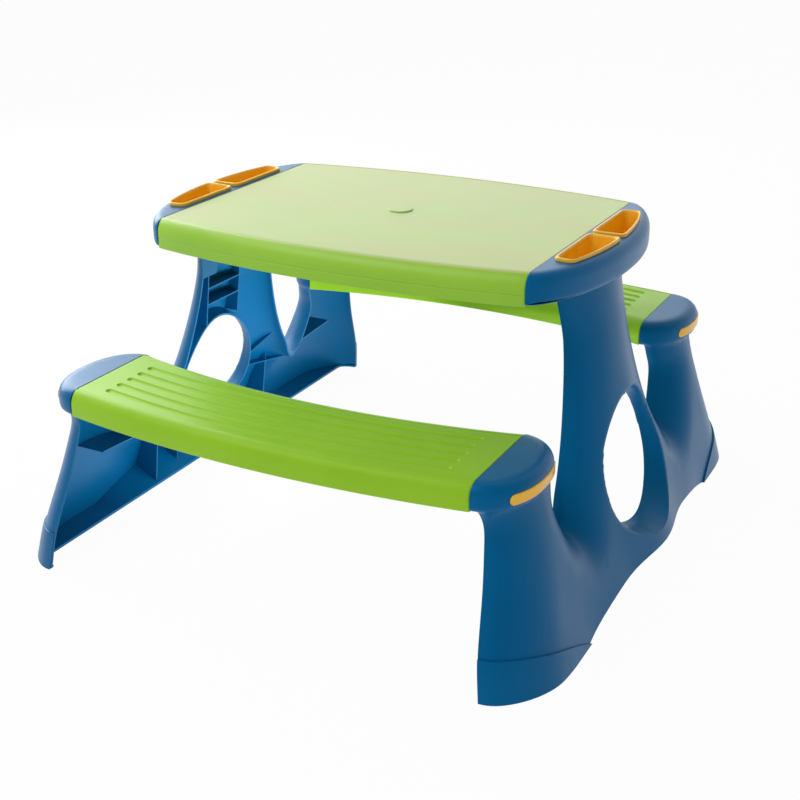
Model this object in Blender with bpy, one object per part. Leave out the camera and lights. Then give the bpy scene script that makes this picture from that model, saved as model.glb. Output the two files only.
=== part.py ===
# Children's table with two fixed benches. Metres, Z up, X along the table, back bench at +Y.

import math

import bmesh
import bpy
import numpy as np
from mathutils import Matrix, Vector
from mathutils.geometry import delaunay_2d_cdt

# Fits
gap = 0.0003  # between faces that touch
slip = 0.0008  # round a piece that lifts out
bite = 0.001  # how far two joined forms run into each other
tiny = 0.000005

# Table top
table_height = 0.500
top_half_length = 0.306
top_half_depth = 0.252  # at mid length
top_end_depth = 0.222  # half depth at the seam with the end frame
top_rim = 0.045
top_round = 0.018
top_wall = 0.0035
top_rib = 0.0025
top_rib_depth = 0.020
top_rib_rows = 3
top_rib_columns = 4

# Hole for a parasol, and its cap
pole_hole_radius = 0.0165
pole_sleeve_wall = 0.003
pole_sleeve_length = 0.030
cap_lip = 0.0025
cap_lip_height = 0.0016
cap_plug_depth = 0.010
cap_wall = 0.002

# Benches
seat_height = 0.287
seat_rim = 0.038
seat_inner_mid = 0.278  # distance of the inner edge from the middle plane, at mid length
seat_outer_mid = 0.458
seat_inner_end = 0.237
seat_outer_end = 0.430
seat_round = 0.018
seat_round_in = 0.026
seat_wall = 0.0035
seat_top_wall = 0.0060
groove_count = 5
groove_width = 0.012
groove_depth = 0.0028
groove_pitch = 0.0245
groove_end_land = 0.038
seat_rib = 0.0025
seat_rib_depth = 0.014
seat_rib_count = 5

# End frames
frame_wall = 0.004
open_lean = 0.125  # run of the open edge outward for each metre down
open_step = 0.0012  # the open edge lies this far outside the seam of the cap above it
face_floor = 0.4800  # outer face at the floor, on the middle plane
face_lean = 0.400
face_curve = 0.265
web_set_back = 0.022  # web and legs lie this far inside the middle of the face
web_fall = 0.030
middle_swell = 0.100
leg_floor = 0.4455
leg_lean = 0.260
leg_crown = 0.022
side_round = 0.064
leg_round = 0.100
edge_fullness = 2.1
notch_y = 0.205
notch_z = 0.124
pillar_waist = 0.102
pillar_head = 0.120
pillar_knee = 0.140
foot_y = 0.4735
foot_length = 0.195
arch_rise = 0.034
sole_edge = 0.394  # inner edge of the sole and of the sloping underside between the feet
collar_height = 0.060
collar_step = 0.003
hole_top = 0.272
hole_bottom = 0.052
hole_widest = 0.140
hole_half_width = 0.116
hole_taper = 0.022
hole_edge = 0.0022
hole_lip_depth = 0.45  # share of the frame's depth that the lip of the hole takes
rib_wall = 0.0025
ledge_z = 0.330
ledge_step = 0.030
ledge_set_back = 0.026  # from the open edge
rib_y = 0.046
web_rib_y = (0.090, 0.165)
web_rib_set_back = 0.036
gusset_set_back = 0.005
hole_gusset_set_back = 0.040
box_set_back = 0.010
box_z = 0.362

# Caps of the end frames
cap_reach = 0.0750
cap_edge_round = 0.016
cap_under_round = 0.004
cap_shell = 0.0035
seat_cap_reach = 0.0645
seat_cap_round = 0.017

# Tongues and screws
tongue_length = 0.040
tongue_width = 0.036
tongue_wall = 0.004
seat_tongue_width = 0.090
boss_radius = 0.0055
screw_radius = 0.0020
screw_head_radius = 0.0042
screw_head_height = 0.0024
screw_length = 0.018
table_screw_y = (0.070, 0.160)
seat_screw_spread = 0.056

# Pen trays
tray_margin = 0.016
tray_seam_land = 0.007
tray_middle_land = 0.006
tray_reach = 0.146
tray_rim_height = 0.0050
tray_rim_width = 0.0045
tray_depth = 0.036
tray_wall = 0.0018
tray_taper = 0.0055
tray_seat = 0.0028  # the rim rests this far over the edge of the opening
tray_corner = 0.011

# Strips on the bench caps
strip_height = 0.0155
strip_bottom = 0.0075
strip_proud = 0.0012
strip_sink = 0.0012
strip_half_run = 0.080

bottom_of_top = table_height - top_rim
bottom_of_seat = seat_height - seat_rim
half_arch = foot_y - foot_length


def open_x(z):
    return top_half_length + open_step + open_lean * (bottom_of_top - z)


seat_half_length = open_x(seat_height) - 2 * open_step


def face_x(y, z):
    middle = face_floor - face_lean * z + face_curve * z * z
    web = middle - web_set_back - web_fall * z
    leg = leg_floor - leg_lean * z
    share = min(1.0, max(0.0, (abs(y) - 0.30 * foot_y) / (0.30 * foot_y)))
    base = web + (leg - web) * share * share * (3 - 2 * share)
    swell = math.exp(-((y / middle_swell) ** 2))
    crown = max(0.0, abs(y) - 0.70 * foot_y) / (0.30 * foot_y)
    return base + (middle - base) * swell - leg_crown * crown * crown


def arch_z(y):
    return max(0.0, arch_rise * (1 - abs(y / half_arch) ** 2.5))


for thing in list(bpy.data.objects):
    bpy.data.objects.remove(thing, do_unlink=True)

parts = bpy.data.collections.new("kids_table_and_benches")
bpy.context.scene.collection.children.link(parts)
cutters = bpy.data.collections.new("cutters")
bpy.context.scene.collection.children.link(cutters)


def material(name, colour, roughness, metallic=0.0):
    made = bpy.data.materials.new(name)
    made.use_nodes = True
    shader = made.node_tree.nodes["Principled BSDF"]
    shader.inputs["Base Color"].default_value = (*colour, 1.0)
    shader.inputs["Roughness"].default_value = roughness
    shader.inputs["Metallic"].default_value = metallic
    made.diffuse_color = (*colour, 1.0)
    return made


blue = material("blue_plastic", (0.010, 0.120, 0.300), 0.38)
green = material("green_plastic", (0.300, 0.560, 0.040), 0.42)
orange = material("orange_plastic", (0.850, 0.330, 0.010), 0.36)
steel = material("zinc_steel", (0.620, 0.620, 0.600), 0.35, 1.0)


def place(name, bm, colour=None, cutter=False):
    bmesh.ops.recalc_face_normals(bm, faces=bm.faces)
    mesh = bpy.data.meshes.new(name)
    bm.to_mesh(mesh)
    bm.free()
    thing = bpy.data.objects.new(name, mesh)
    if cutter:
        cutters.objects.link(thing)
        thing.hide_render = True
        thing.display_type = "WIRE"
    else:
        parts.objects.link(thing)
        mesh.materials.append(colour)
    return thing


def combine(thing, other, operation):
    """Joins or cuts at once, so that each step starts from a plain mesh."""
    step = thing.modifiers.new(operation.lower(), "BOOLEAN")
    step.operation = operation
    step.solver = "EXACT"
    step.object = other
    graph = bpy.context.evaluated_depsgraph_get()
    mesh = bpy.data.meshes.new_from_object(thing.evaluated_get(graph))
    thing.modifiers.clear()
    thing.data = mesh
    bm = bmesh.new()
    bm.from_mesh(mesh)
    bmesh.ops.dissolve_degenerate(bm, dist=tiny, edges=bm.edges)
    bmesh.ops.remove_doubles(bm, verts=bm.verts, dist=tiny)
    bm.to_mesh(mesh)
    bm.free()


def stack(outline, steps):
    """A solid through like rings. Each step is (side inset, end inset, height)."""
    bm = bmesh.new()
    side, end, z = steps[0]
    first = [bm.verts.new((x, y, z)) for x, y in outline(side, end)]
    face = bm.faces.new(first)
    for side, end, z in steps[1:]:
        face = bmesh.ops.extrude_discrete_faces(bm, faces=[face])["faces"][0]
        for vert, (x, y) in zip(face.verts, outline(side, end)):
            vert.co = (x, y, z)
    bm.faces.new(reversed(first))
    return bm


def quarter(side, end, z, radius, drop, count=4, under=False):
    """Steps of a rounded edge that ends on a flat face at height z."""
    found = []
    for k in range(count + 1):
        turn = 0.5 * math.pi * (k if not under else count - k) / count
        found.append((
            side + radius * (1 - math.cos(turn)),
            end,
            z + (drop if under else -drop) * (1 - math.sin(turn)),
        ))
    return found


def block(low, high):
    bm = bmesh.new()
    bmesh.ops.create_cube(bm, size=1.0)
    size = [b - a for a, b in zip(low, high)]
    middle = [0.5 * (a + b) for a, b in zip(low, high)]
    bmesh.ops.scale(bm, vec=size, verts=bm.verts)
    bmesh.ops.translate(bm, vec=middle, verts=bm.verts)
    return bm


def rod(radius, x, y, z0, z1, sides=12):
    bm = bmesh.new()
    spot = Matrix.Translation((x, y, 0.5 * (z0 + z1)))
    bmesh.ops.create_cone(
        bm, cap_ends=True, segments=sides, radius1=radius, radius2=radius, depth=z1 - z0, matrix=spot
    )
    return bm


def flatten(thing):
    """Merges neighbouring faces that lie in one plane."""
    bm = bmesh.new()
    bm.from_mesh(thing.data)
    bmesh.ops.dissolve_limit(bm, angle_limit=math.radians(0.3), verts=bm.verts, edges=bm.edges)
    bm.to_mesh(thing.data)
    bm.free()


def joined(*pieces):
    """One mesh that holds several separate closed forms."""
    whole = bmesh.new()
    for piece in pieces:
        mesh = bpy.data.meshes.new("piece")
        piece.to_mesh(mesh)
        piece.free()
        whole.from_mesh(mesh)
        bpy.data.meshes.remove(mesh)
    return whole


def spline(points, per):
    """A smooth line through the points."""
    ends = [2 * Vector(points[0]) - Vector(points[1])]
    ends += [Vector(p) for p in points]
    ends += [2 * ends[-1] - ends[-2]]
    line = []
    for a, b, c, d in zip(ends, ends[1:], ends[2:], ends[3:]):
        for k in range(per):
            t = k / per
            line.append(
                0.5 * (2 * b + (c - a) * t + (2 * a - 5 * b + 4 * c - d) * t * t
                       + (3 * b - a - 3 * c + d) * t ** 3)
            )
    line.append(ends[-2])
    return line


def pushed(line, amount):
    """The line moved sideways, to the left of its direction."""
    moved = []
    for k, point in enumerate(line):
        run = line[min(k + 1, len(line) - 1)] - line[max(k - 1, 0)]
        run.normalize()
        moved.append(point + amount * Vector((-run.y, run.x)))
    return moved


# Outlines in plan

def top_edge(x):
    return top_half_depth - (top_half_depth - top_end_depth) * (x / top_half_length) ** 2


def top_outline(side, end):
    count = 12
    reach = top_half_length - gap - end
    xs = [-reach + 2 * reach * k / count for k in range(count + 1)]
    return [(x, side - top_edge(x)) for x in xs] + [(x, top_edge(x) - side) for x in reversed(xs)]


def seat_edges(x):
    bow = 1 - (x / seat_half_length) ** 2
    inner = seat_inner_end + (seat_inner_mid - seat_inner_end) * bow
    outer = seat_outer_end + (seat_outer_mid - seat_outer_end) * bow
    return inner, outer


def seat_outline(side, end):
    count = 12
    reach = seat_half_length - gap - end
    xs = [-reach + 2 * reach * k / count for k in range(count + 1)]
    inner = [(x, seat_edges(x)[0] + side * seat_round_in / seat_round) for x in xs]
    outer = [(x, seat_edges(x)[1] - side) for x in reversed(xs)]
    return inner + outer


def bulge(half, reach, centre, seam, fullness, count):
    """A D: its straight side on the seam, its bow outward."""
    line = []
    for k in range(count + 1):
        turn = -0.5 * math.pi + math.pi * k / count
        line.append((
            seam + reach * max(0.0, math.cos(turn)) ** (2 / fullness[0]),
            centre + half * math.copysign(abs(math.sin(turn)) ** (2 / fullness[1]), turn),
        ))
    return line


def cap_outline(side, end):
    return bulge(
        top_end_depth - side, cap_reach - side - end, 0.0, top_half_length + end, (1.5, 2.05), 26
    )


seat_end_middle = 0.5 * (seat_inner_end + seat_outer_end)
seat_end_half = 0.5 * (seat_outer_end - seat_inner_end)


def seat_cap_outline(side, end):
    shift = 0.5 * side * (seat_round_in / seat_round - 1)
    return bulge(
        seat_end_half - side - shift,
        seat_cap_reach - side - end,
        seat_end_middle + shift,
        seat_half_length + end,
        (1.9, 2.3),
        20,
    )


def plain_seat_cap_outline(side, end):
    return bulge(
        seat_end_half - side, seat_cap_reach - side - end, seat_end_middle, seat_half_length + end, (1.9, 2.3), 20
    )


# Table top

def shell_steps(wall, top_wall, rim_bottom, height, radius, end_wall):
    ceiling = height - top_wall
    steps = [(wall + 0.6 * radius, end_wall, ceiling), (wall, end_wall, ceiling - 0.6 * radius)]
    steps += [(wall, end_wall, rim_bottom), (0.0, 0.0, rim_bottom)]
    return steps + quarter(0.0, 0.0, height, radius, radius)


def screw_spots():
    """Places of the screws on the right end: (x, y, tongue underside, underside of what they hold)."""
    spots = []
    for sign in (-1, 1):
        for y in table_screw_y:
            spots.append((top_half_length - 0.5 * tongue_length, sign * y, table_tongue, "table"))
        for k in (-0.5, 0.5):
            y = sign * (seat_end_middle + 0.004) + k * seat_screw_spread
            spots.append((seat_half_length - 0.5 * tongue_length, y, seat_tongue, "seat"))
    return spots


screw_reach = screw_length - tongue_wall - gap
table_ceiling = table_height - top_wall
seat_ceiling = seat_height - seat_top_wall
table_tongue = table_ceiling - screw_reach - 0.010 - tongue_wall
seat_tongue = seat_ceiling - 0.0125 - tongue_wall


def boss(x, y, low, ceiling):
    """A tube under a ceiling that a screw goes into."""
    return rod(boss_radius, x, y, low, ceiling + bite)


def add_ribs(thing, ribs, hollow):
    """Joins the ribs to a shell, each trimmed to the shell's hollow."""
    web = None
    for form in ribs:
        piece = place("rib", form, cutter=True)
        if web:
            combine(web, piece, "UNION")
        else:
            web = piece
    combine(web, hollow, "INTERSECT")
    combine(thing, web, "UNION")


def make_top():
    bm = stack(top_outline, shell_steps(top_wall, top_wall, bottom_of_top, table_height, top_round, top_wall))
    top = place("table_top", bm, green)
    added = []
    ceiling = table_height - top_wall
    inside = top_half_length - tongue_length - 0.012
    for k in range(1, top_rib_rows + 1):
        y = -top_end_depth + 2 * top_end_depth * k / (top_rib_rows + 1)
        added.append(block((-inside, y - top_rib / 2, ceiling - top_rib_depth), (inside, y + top_rib / 2, table_height)))
    for k in range(top_rib_columns):
        x = -inside + top_rib / 2 + (2 * inside - top_rib) * k / (top_rib_columns - 1)
        added.append(block(
            (x - top_rib / 2, -top_half_depth, ceiling - top_rib_depth), (x + top_rib / 2, top_half_depth, table_height)
        ))
    hollow = stack(top_outline, [
        (top_wall - bite, top_wall, bottom_of_top),
        (top_wall - bite, top_wall, ceiling - 0.6 * top_round + bite),
        (top_wall + 0.6 * top_round - bite, top_wall, ceiling + bite),
    ])
    add_ribs(top, added, place("top_hollow", hollow, cutter=True))
    posts = []
    holes = []
    slots = []
    for x, y, tongue, held in screw_spots():
        if held == "table":
            for sign in (-1, 1):
                low = tongue + tongue_wall + gap
                posts.append(boss(sign * x, y, low, ceiling))
                holes.append(rod(screw_radius + gap, sign * x, y, low - 0.01, ceiling - 0.004))
    sleeve = pole_hole_radius + pole_sleeve_wall
    posts.append(rod(sleeve, 0, 0, ceiling - pole_sleeve_length, ceiling + bite, 28))
    holes.append(rod(pole_hole_radius, 0, 0, bottom_of_top - 0.02, table_height + 0.02, 28))
    for sign in (-1, 1):
        for y in table_screw_y:
            for side in (-1, 1):
                slots.append(block(
                    (min(sign * (top_half_length - 0.02), sign * (top_half_length + 0.02)),
                     side * y - tongue_width / 2 - 2 * gap, table_tongue - 2 * gap),
                    (max(sign * (top_half_length - 0.02), sign * (top_half_length + 0.02)),
                     side * y + tongue_width / 2 + 2 * gap, table_tongue + tongue_wall + 2 * gap),
                ))
    combine(top, place("top_posts", joined(*posts), cutter=True), "UNION")
    combine(top, place("top_holes", joined(*holes), cutter=True), "DIFFERENCE")
    combine(top, place("top_slots", joined(*slots), cutter=True), "DIFFERENCE")
    return top


def make_pole_cap():
    rim = pole_hole_radius + cap_lip
    plug = pole_hole_radius - gap
    z = table_height + gap
    profile = [
        (0.0, z + cap_lip_height), (rim - 0.0008, z + cap_lip_height), (rim, z + cap_lip_height - 0.0008),
        (rim, z), (plug, z), (plug, z - cap_plug_depth), (plug - cap_wall, z - cap_plug_depth),
        (plug - cap_wall, z - cap_wall), (0.0, z - cap_wall),
    ]
    bm = bmesh.new()
    verts = [bm.verts.new((x, 0.0, height)) for x, height in profile]
    for a, b in zip(verts, verts[1:]):
        bm.edges.new((a, b))
    bmesh.ops.spin(
        bm, geom=bm.verts[:] + bm.edges[:], cent=(0, 0, 0), axis=(0, 0, 1),
        angle=2 * math.pi, steps=28, use_merge=True, use_duplicate=False,
    )
    bmesh.ops.remove_doubles(bm, verts=bm.verts, dist=1e-6)
    return place("parasol_hole_cap", bm, green)


# Benches

def groove_line(share, x):
    inner, outer = seat_edges(x)
    middle = 0.5 * (inner + outer) + 0.5 * (seat_round_in - seat_round)
    return middle + share


def make_seat(name, sign):
    steps = [(seat_round, seat_wall, seat_ceiling), (seat_wall, seat_wall, seat_ceiling - seat_round)]
    steps += [(seat_wall, seat_wall, bottom_of_seat), (0.0, 0.0, bottom_of_seat)]
    steps += quarter(0.0, 0.0, seat_height, seat_round, seat_round)
    bm = stack(seat_outline, steps)
    seat = place(name, bm, green)
    ribs = []
    inside = seat_half_length - tongue_length - 0.012
    for k in range(seat_rib_count):
        x = -inside + seat_rib / 2 + (2 * inside - seat_rib) * k / (seat_rib_count - 1)
        inner, outer = seat_edges(x)
        ribs.append(block(
            (x - seat_rib / 2, inner, seat_ceiling - seat_rib_depth), (x + seat_rib / 2, outer, seat_height)
        ))
    hollow = stack(seat_outline, [
        (seat_wall - bite, seat_wall, bottom_of_seat),
        (seat_wall - bite, seat_wall, seat_ceiling - seat_round + bite),
        (seat_round - bite, seat_wall, seat_ceiling + bite),
    ])
    add_ribs(seat, ribs, place(name + "_hollow", hollow, cutter=True))
    posts = []
    holes = []
    for x, y, tongue, held in screw_spots():
        if held == "seat" and y > 0:
            for side in (-1, 1):
                low = tongue + tongue_wall + gap
                posts.append(boss(side * x, y, low, seat_ceiling))
                holes.append(rod(screw_radius + gap, side * x, y, low - 0.01, seat_ceiling + 0.0020))
    slots = []
    for side in (-1, 1):
        ends = sorted((side * (seat_half_length - 0.02), side * (seat_half_length + 0.02)))
        middle = seat_end_middle + 0.004
        slots.append(block(
            (ends[0], middle - seat_tongue_width / 2 - 2 * gap, seat_tongue - 2 * gap),
            (ends[1], middle + seat_tongue_width / 2 + 2 * gap, seat_tongue + tongue_wall + 2 * gap),
        ))
    combine(seat, place(name + "_posts", joined(*posts), cutter=True), "UNION")
    reach = seat_half_length - groove_end_land
    depth_radius = (groove_width ** 2 / 4 + groove_depth ** 2) / (2 * groove_depth)
    for k in range(groove_count):
        share = (k - (groove_count - 1) / 2) * groove_pitch
        count = 9
        xs = [-reach + 2 * reach * j / count for j in range(count + 1)]
        bm = bmesh.new()
        rings = []
        widths = [0.45, 1.0] + [1.0] * (count - 3) + [1.0, 0.45]
        for j, x in enumerate(xs):
            half = 0.5 * groove_width * widths[j]
            deep = groove_depth * (1.0 if widths[j] == 1.0 else 0.35)
            y = groove_line(share, x)
            ring = [(y - half, seat_height + 0.002), (y - half, seat_height)]
            ring += [(y - 0.55 * half, seat_height - 0.8 * deep), (y, seat_height - deep)]
            ring += [(y + 0.55 * half, seat_height - 0.8 * deep), (y + half, seat_height)]
            ring += [(y + half, seat_height + 0.002)]
            rings.append([bm.verts.new((x, a, b)) for a, b in ring])
        for a, b in zip(rings, rings[1:]):
            for i in range(len(a)):
                n = (i + 1) % len(a)
                bm.faces.new((a[i], a[n], b[n], b[i]))
        bm.faces.new(rings[0])
        bm.faces.new(rings[-1])
        holes.append(bm)
    for hole in holes:
        bmesh.ops.recalc_face_normals(hole, faces=hole.faces)
    combine(seat, place(name + "_holes", joined(*holes), cutter=True), "DIFFERENCE")
    combine(seat, place(name + "_slots", joined(*slots), cutter=True), "DIFFERENCE")
    if sign < 0:
        seat.data.transform(Matrix.Scale(-1, 4, (0, 1, 0)))
        seat.data.flip_normals()
    return seat


# End frames

def side_line():
    """The open edge from the pillar's head round the notch to the bench leg's head."""
    tall = bottom_of_top - notch_z
    low = bottom_of_seat - notch_z
    points = [
        (pillar_head, bottom_of_top + bite),
        (0.5 * (pillar_head + pillar_waist), notch_z + 0.90 * tall),
        (pillar_waist, notch_z + 0.77 * tall),
        (pillar_waist + 0.003, notch_z + 0.665 * tall),
        (pillar_waist + 0.011, notch_z + 0.56 * tall),
        (pillar_waist + 0.023, notch_z + 0.44 * tall),
        (pillar_knee, notch_z + 0.32 * tall),
        (pillar_knee + 0.020, notch_z + 0.20 * tall),
        (pillar_knee + 0.040, notch_z + 0.105 * tall),
        (notch_y - 0.012, notch_z + 0.025 * tall),
        (notch_y, notch_z),
        (notch_y + 0.012, notch_z + 0.045 * low),
        (notch_y + 0.030, notch_z + 0.19 * low),
        (notch_y + 0.049, notch_z + 0.48 * low),
        (notch_y + 0.055, notch_z + 0.66 * low),
        (notch_y + 0.047, notch_z + 0.84 * low),
        (notch_y + 0.040, bottom_of_seat + bite),
    ]
    return spline(points, 2)


def leg_line():
    top = bottom_of_seat
    points = [
        (foot_y - 0.052, bottom_of_seat + bite),
        (foot_y - 0.063, 0.93 * top),
        (foot_y - 0.066, 0.86 * top),
        (foot_y - 0.060, 0.76 * top),
        (foot_y - 0.044, 0.56 * top),
        (foot_y - 0.012, 0.245 * top),
        (foot_y, 0.0),
    ]
    return spline(points, 2)


def straight(start, stop, count, crowding=1.0):
    """Points between two others. A crowding over 1 draws them to the start."""
    return [start.lerp(stop, (k / (count + 1)) ** crowding) for k in range(1, count + 1)]


def nearest(points, line):
    """Distance of each point from a line of straight runs."""
    start = np.array([tuple(p) for p in line[:-1]])
    run = np.array([tuple(p) for p in line[1:]]) - start
    offset = points[:, None, :] - start[None]
    share = np.clip((offset * run).sum(2) / (run * run).sum(1), 0, 1)
    return np.linalg.norm(offset - share[..., None] * run, axis=2).min(1)


def within(points, ring):
    """Which points lie inside a closed ring."""
    a = np.array([tuple(p) for p in ring])
    b = np.roll(a, -1, axis=0)
    y, z = points[:, :1], points[:, 1:]
    crosses = (a[:, 1] > z) != (b[:, 1] > z)
    rise = np.where(a[:, 1] == b[:, 1], 1.0, b[:, 1] - a[:, 1])
    return (crosses & (y < a[:, 0] + (z - a[:, 1]) / rise * (b[:, 0] - a[:, 0]))).sum(1) % 2 == 1


def rounding(distance, radius):
    """How far a rounded edge has risen at this distance from it, from 0 to 1."""
    share = np.clip(distance / radius, 0, 1)
    return (1 - (1 - share) ** edge_fullness) ** (1 / edge_fullness)


def plate(inset, back, floor, low=0.0, lift=0.0):
    """The frame's outline filled out to its rounded face.

    Floor gives where its inner side lies, low is the height of its lower edge and lift raises its
    other ends. The underside slopes between the feet.
    """
    side = pushed(side_line(), -inset)
    leg = pushed(leg_line(), -inset)
    leg[-1].y = low
    side[0].y += lift
    side[-1].y += lift
    leg[0].y += lift
    base = [Vector((half_arch * math.sin(math.pi * (8 - k) / 16), low)) for k in range(17)]
    half = side + straight(side[-1], leg[0], 9) + leg + straight(leg[-1], base[0], 10, 1.8)
    ring = half + base + [Vector((-p.x, p.y)) for p in reversed(half)]
    ring += straight(ring[-1], ring[0], 15)
    points = []
    for line, reach in ((side, 1.0), (leg, 1.5)):
        for depth in (0.002, 0.009, 0.022, 0.042):
            points += [(p.x, p.y) for p in pushed(line, -reach * depth)]
    ringed = len(points)
    step = 0.024
    points += [(step * j, 0.006 + step * k) for j in range(20) for k in range(-1, 20)]
    points = np.array(points)
    to_side, to_leg = nearest(points, side), nearest(points, leg)
    near = np.minimum(to_side, to_leg / 1.5)
    keep = within(points, half + base[:9] + [Vector((-0.001, low)), Vector((-0.001, 0.6))])
    keep[:ringed] &= near[:ringed] > 0.0018
    keep[ringed:] &= near[ringed:] > 0.054
    keep &= nearest(points, [leg[-1], base[-1]]) > 0.0025
    keep &= nearest(points, [side[0], Vector((0, side[0].y))]) > 0.004
    keep &= nearest(points, [side[-1], leg[0]]) > 0.004
    rises = np.array([arch_z(y) for y in points[:, 0]])
    keep &= (rises == 0) | (points[:, 1] > low + rises + 0.006)
    thinned = []
    for point in points[keep]:
        if all(math.dist(point, other) > 0.0060 for other in thinned):
            thinned.append(tuple(point))
    inner = [Vector(p) for p in thinned] + [Vector((-p[0], p[1])) for p in thinned if p[0] > 1e-6]
    edges = [(k, (k + 1) % len(ring)) for k in range(len(ring))]
    crease = [Vector((p.x, low + arch_z(p.x))) for p in base[1:-1]]
    start = len(ring) + len(inner)
    ends = [len(half)] + [start + k for k in range(len(crease))] + [len(half) + len(base) - 1]
    edges += list(zip(ends, ends[1:]))
    inner += crease
    flat, _, faces, _, _, _ = delaunay_2d_cdt(ring + inner, edges, [], 1, 1e-7)
    spots = np.array([(abs(p.x), p.y) for p in flat])
    rise = rounding(nearest(spots, side), side_round - inset) * rounding(nearest(spots, leg), leg_round - inset)
    bm = bmesh.new()
    tops, lows = [], []
    for spot, share in zip(flat, rise):
        x0 = open_x(spot.y)
        top = x0 + (face_x(spot.x, spot.y) + back - x0) * share
        slope = arch_z(spot.x)
        if spot.y < low + slope - tiny and top > sole_edge:
            top = sole_edge + (top - sole_edge) * (spot.y - low) / slope
        bottom = floor(x0, top)
        tops.append(bm.verts.new((max(top, bottom), spot.x, spot.y)))
        lows.append(tops[-1] if top - bottom < 1e-6 else bm.verts.new((bottom, spot.x, spot.y)))
    used = set()
    for face in faces:
        if all(tops[k] is lows[k] for k in face):
            continue
        bm.faces.new([tops[k] for k in face])
        bm.faces.new([lows[k] for k in reversed(face)])
        used.update(zip(face, face[1:] + face[:1]))
    for a, b in used:
        if (b, a) not in used:
            corners = []
            for vert in (tops[b], tops[a], lows[a], lows[b]):
                if vert not in corners:
                    corners.append(vert)
            if len(corners) > 2:
                bm.faces.new(corners)
    loose = [v for v in bm.verts if not v.link_faces]
    bmesh.ops.delete(bm, geom=loose, context="VERTS")
    return bm


def sole_opening():
    """What the underside leaves open between the feet's soles, down through the floor."""
    side = foot_y - 1.6 * frame_wall
    outer = []
    for k in range(17):
        far = side * (1 - (k / 16) ** 1.6)
        leg = leg_floor - leg_crown * (max(0.0, far - 0.70 * foot_y) / (0.30 * foot_y)) ** 2
        x0 = open_x(0)
        share = rounding(foot_y - far - 1.6 * frame_wall, leg_round - frame_wall)
        outer.append((min(sole_edge, x0 + (leg - 1.6 * frame_wall - x0) * float(share)), far))
    line = [(open_x(0) - 0.015, side)] + outer + [(x, -y) for x, y in reversed(outer[:-1])]
    line.append((open_x(0) - 0.015, -side))
    bm = bmesh.new()
    face = bm.faces.new([bm.verts.new((x, y, -0.012)) for x, y in line])
    top = bmesh.ops.extrude_face_region(bm, geom=[face])["geom"]
    rise = 0.012 + 1.5 * frame_wall
    bmesh.ops.translate(bm, vec=(0, 0, rise), verts=[v for v in top if isinstance(v, bmesh.types.BMVert)])
    bmesh.ops.recalc_face_normals(bm, faces=bm.faces)
    return bm


def hole_ring(grow):
    """The egg-shaped opening, as points in Y and Z."""
    line = []
    for k in range(32):
        turn = 2 * math.pi * k / 32
        up = math.cos(turn)
        tall = hole_top - hole_widest if up > 0 else hole_widest - hole_bottom
        narrow = 1 - 0.12 * max(0.0, up) ** 2
        line.append(((hole_half_width + grow) * math.sin(turn) * narrow, hole_widest + (tall + grow) * up))
    return line


def hole_plug(grow, start, stop, edge=0.0):
    """A plug through the opening, tapered along the lip. Start and stop are shares of the depth."""
    bm = bmesh.new()
    knee = 1 - hole_lip_depth
    shares = [start] + [share for share in (knee, 0.96, 1.0, 1.04) if start < share < stop] + [stop]
    rings = []
    for share in shares:
        ring = []
        taper = hole_taper * (min(max(share, knee), 1) - 1)
        for y, z in hole_ring(grow + taper + edge * min(max((share - 0.96) / 0.04, 0), 2)):
            x0 = open_x(z)
            ring.append(bm.verts.new((x0 + share * (face_x(y, z) - x0), y, z)))
        rings.append(ring)
    for a, b in zip(rings, rings[1:]):
        for k in range(32):
            n = (k + 1) % 32
            bm.faces.new((a[k], a[n], b[n], b[k]))
    ends = [bm.faces.new(rings[0]), bm.faces.new(rings[-1])]
    bmesh.ops.poke(bm, faces=ends)
    bmesh.ops.recalc_face_normals(bm, faces=bm.faces)
    return bm


def rib(a, b, near, far):
    """An upright plate from a to b in Y and Z. Near and far set its free edge back from the open edge."""
    run = Vector(b) - Vector(a)
    across = 0.5 * rib_wall * Vector((-run.y, run.x)).normalized()
    bm = bmesh.new()
    ring = [Vector(a) + across, Vector(a) - across, Vector(b) - across, Vector(b) + across]
    front = [bm.verts.new((open_x(p.y) + back, p.x, p.y)) for p, back in zip(ring, (near, near, far, far))]
    rear = [bm.verts.new((0.50, p.x, p.y)) for p in ring]
    for k in range(4):
        n = (k + 1) % 4
        bm.faces.new((front[k], front[n], rear[n], rear[k]))
    bm.faces.new(front)
    bm.faces.new(rear)
    bmesh.ops.recalc_face_normals(bm, faces=bm.faces)
    return bm


def box_front(sign):
    """The plate that closes the box beside each upright rib, in front of the screws of the top."""
    bm = block((0, sign * rib_y, box_z), (rib_wall, sign * (pillar_head + 0.010), bottom_of_top + 0.002))
    for vert in bm.verts:
        vert.co.x += open_x(vert.co.z) + box_set_back
    return bm


def collar_zone(sign):
    line = [(foot_y + 0.02, -0.01)]
    for k in range(9):
        share = k / 8
        y = foot_y + 0.02 - (foot_length + 0.02) * share
        line.append((y, collar_height * (1 - share ** 1.8) + 0.0005))
    line.append((foot_y - foot_length, -0.01))
    bm = bmesh.new()
    face = bm.faces.new([bm.verts.new((0.25, sign * y, z)) for y, z in line])
    top = bmesh.ops.extrude_face_region(bm, geom=[face])["geom"]
    bmesh.ops.translate(bm, vec=(0.30, 0, 0), verts=[v for v in top if isinstance(v, bmesh.types.BMVert)])
    bmesh.ops.recalc_face_normals(bm, faces=bm.faces)
    return bm


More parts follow.
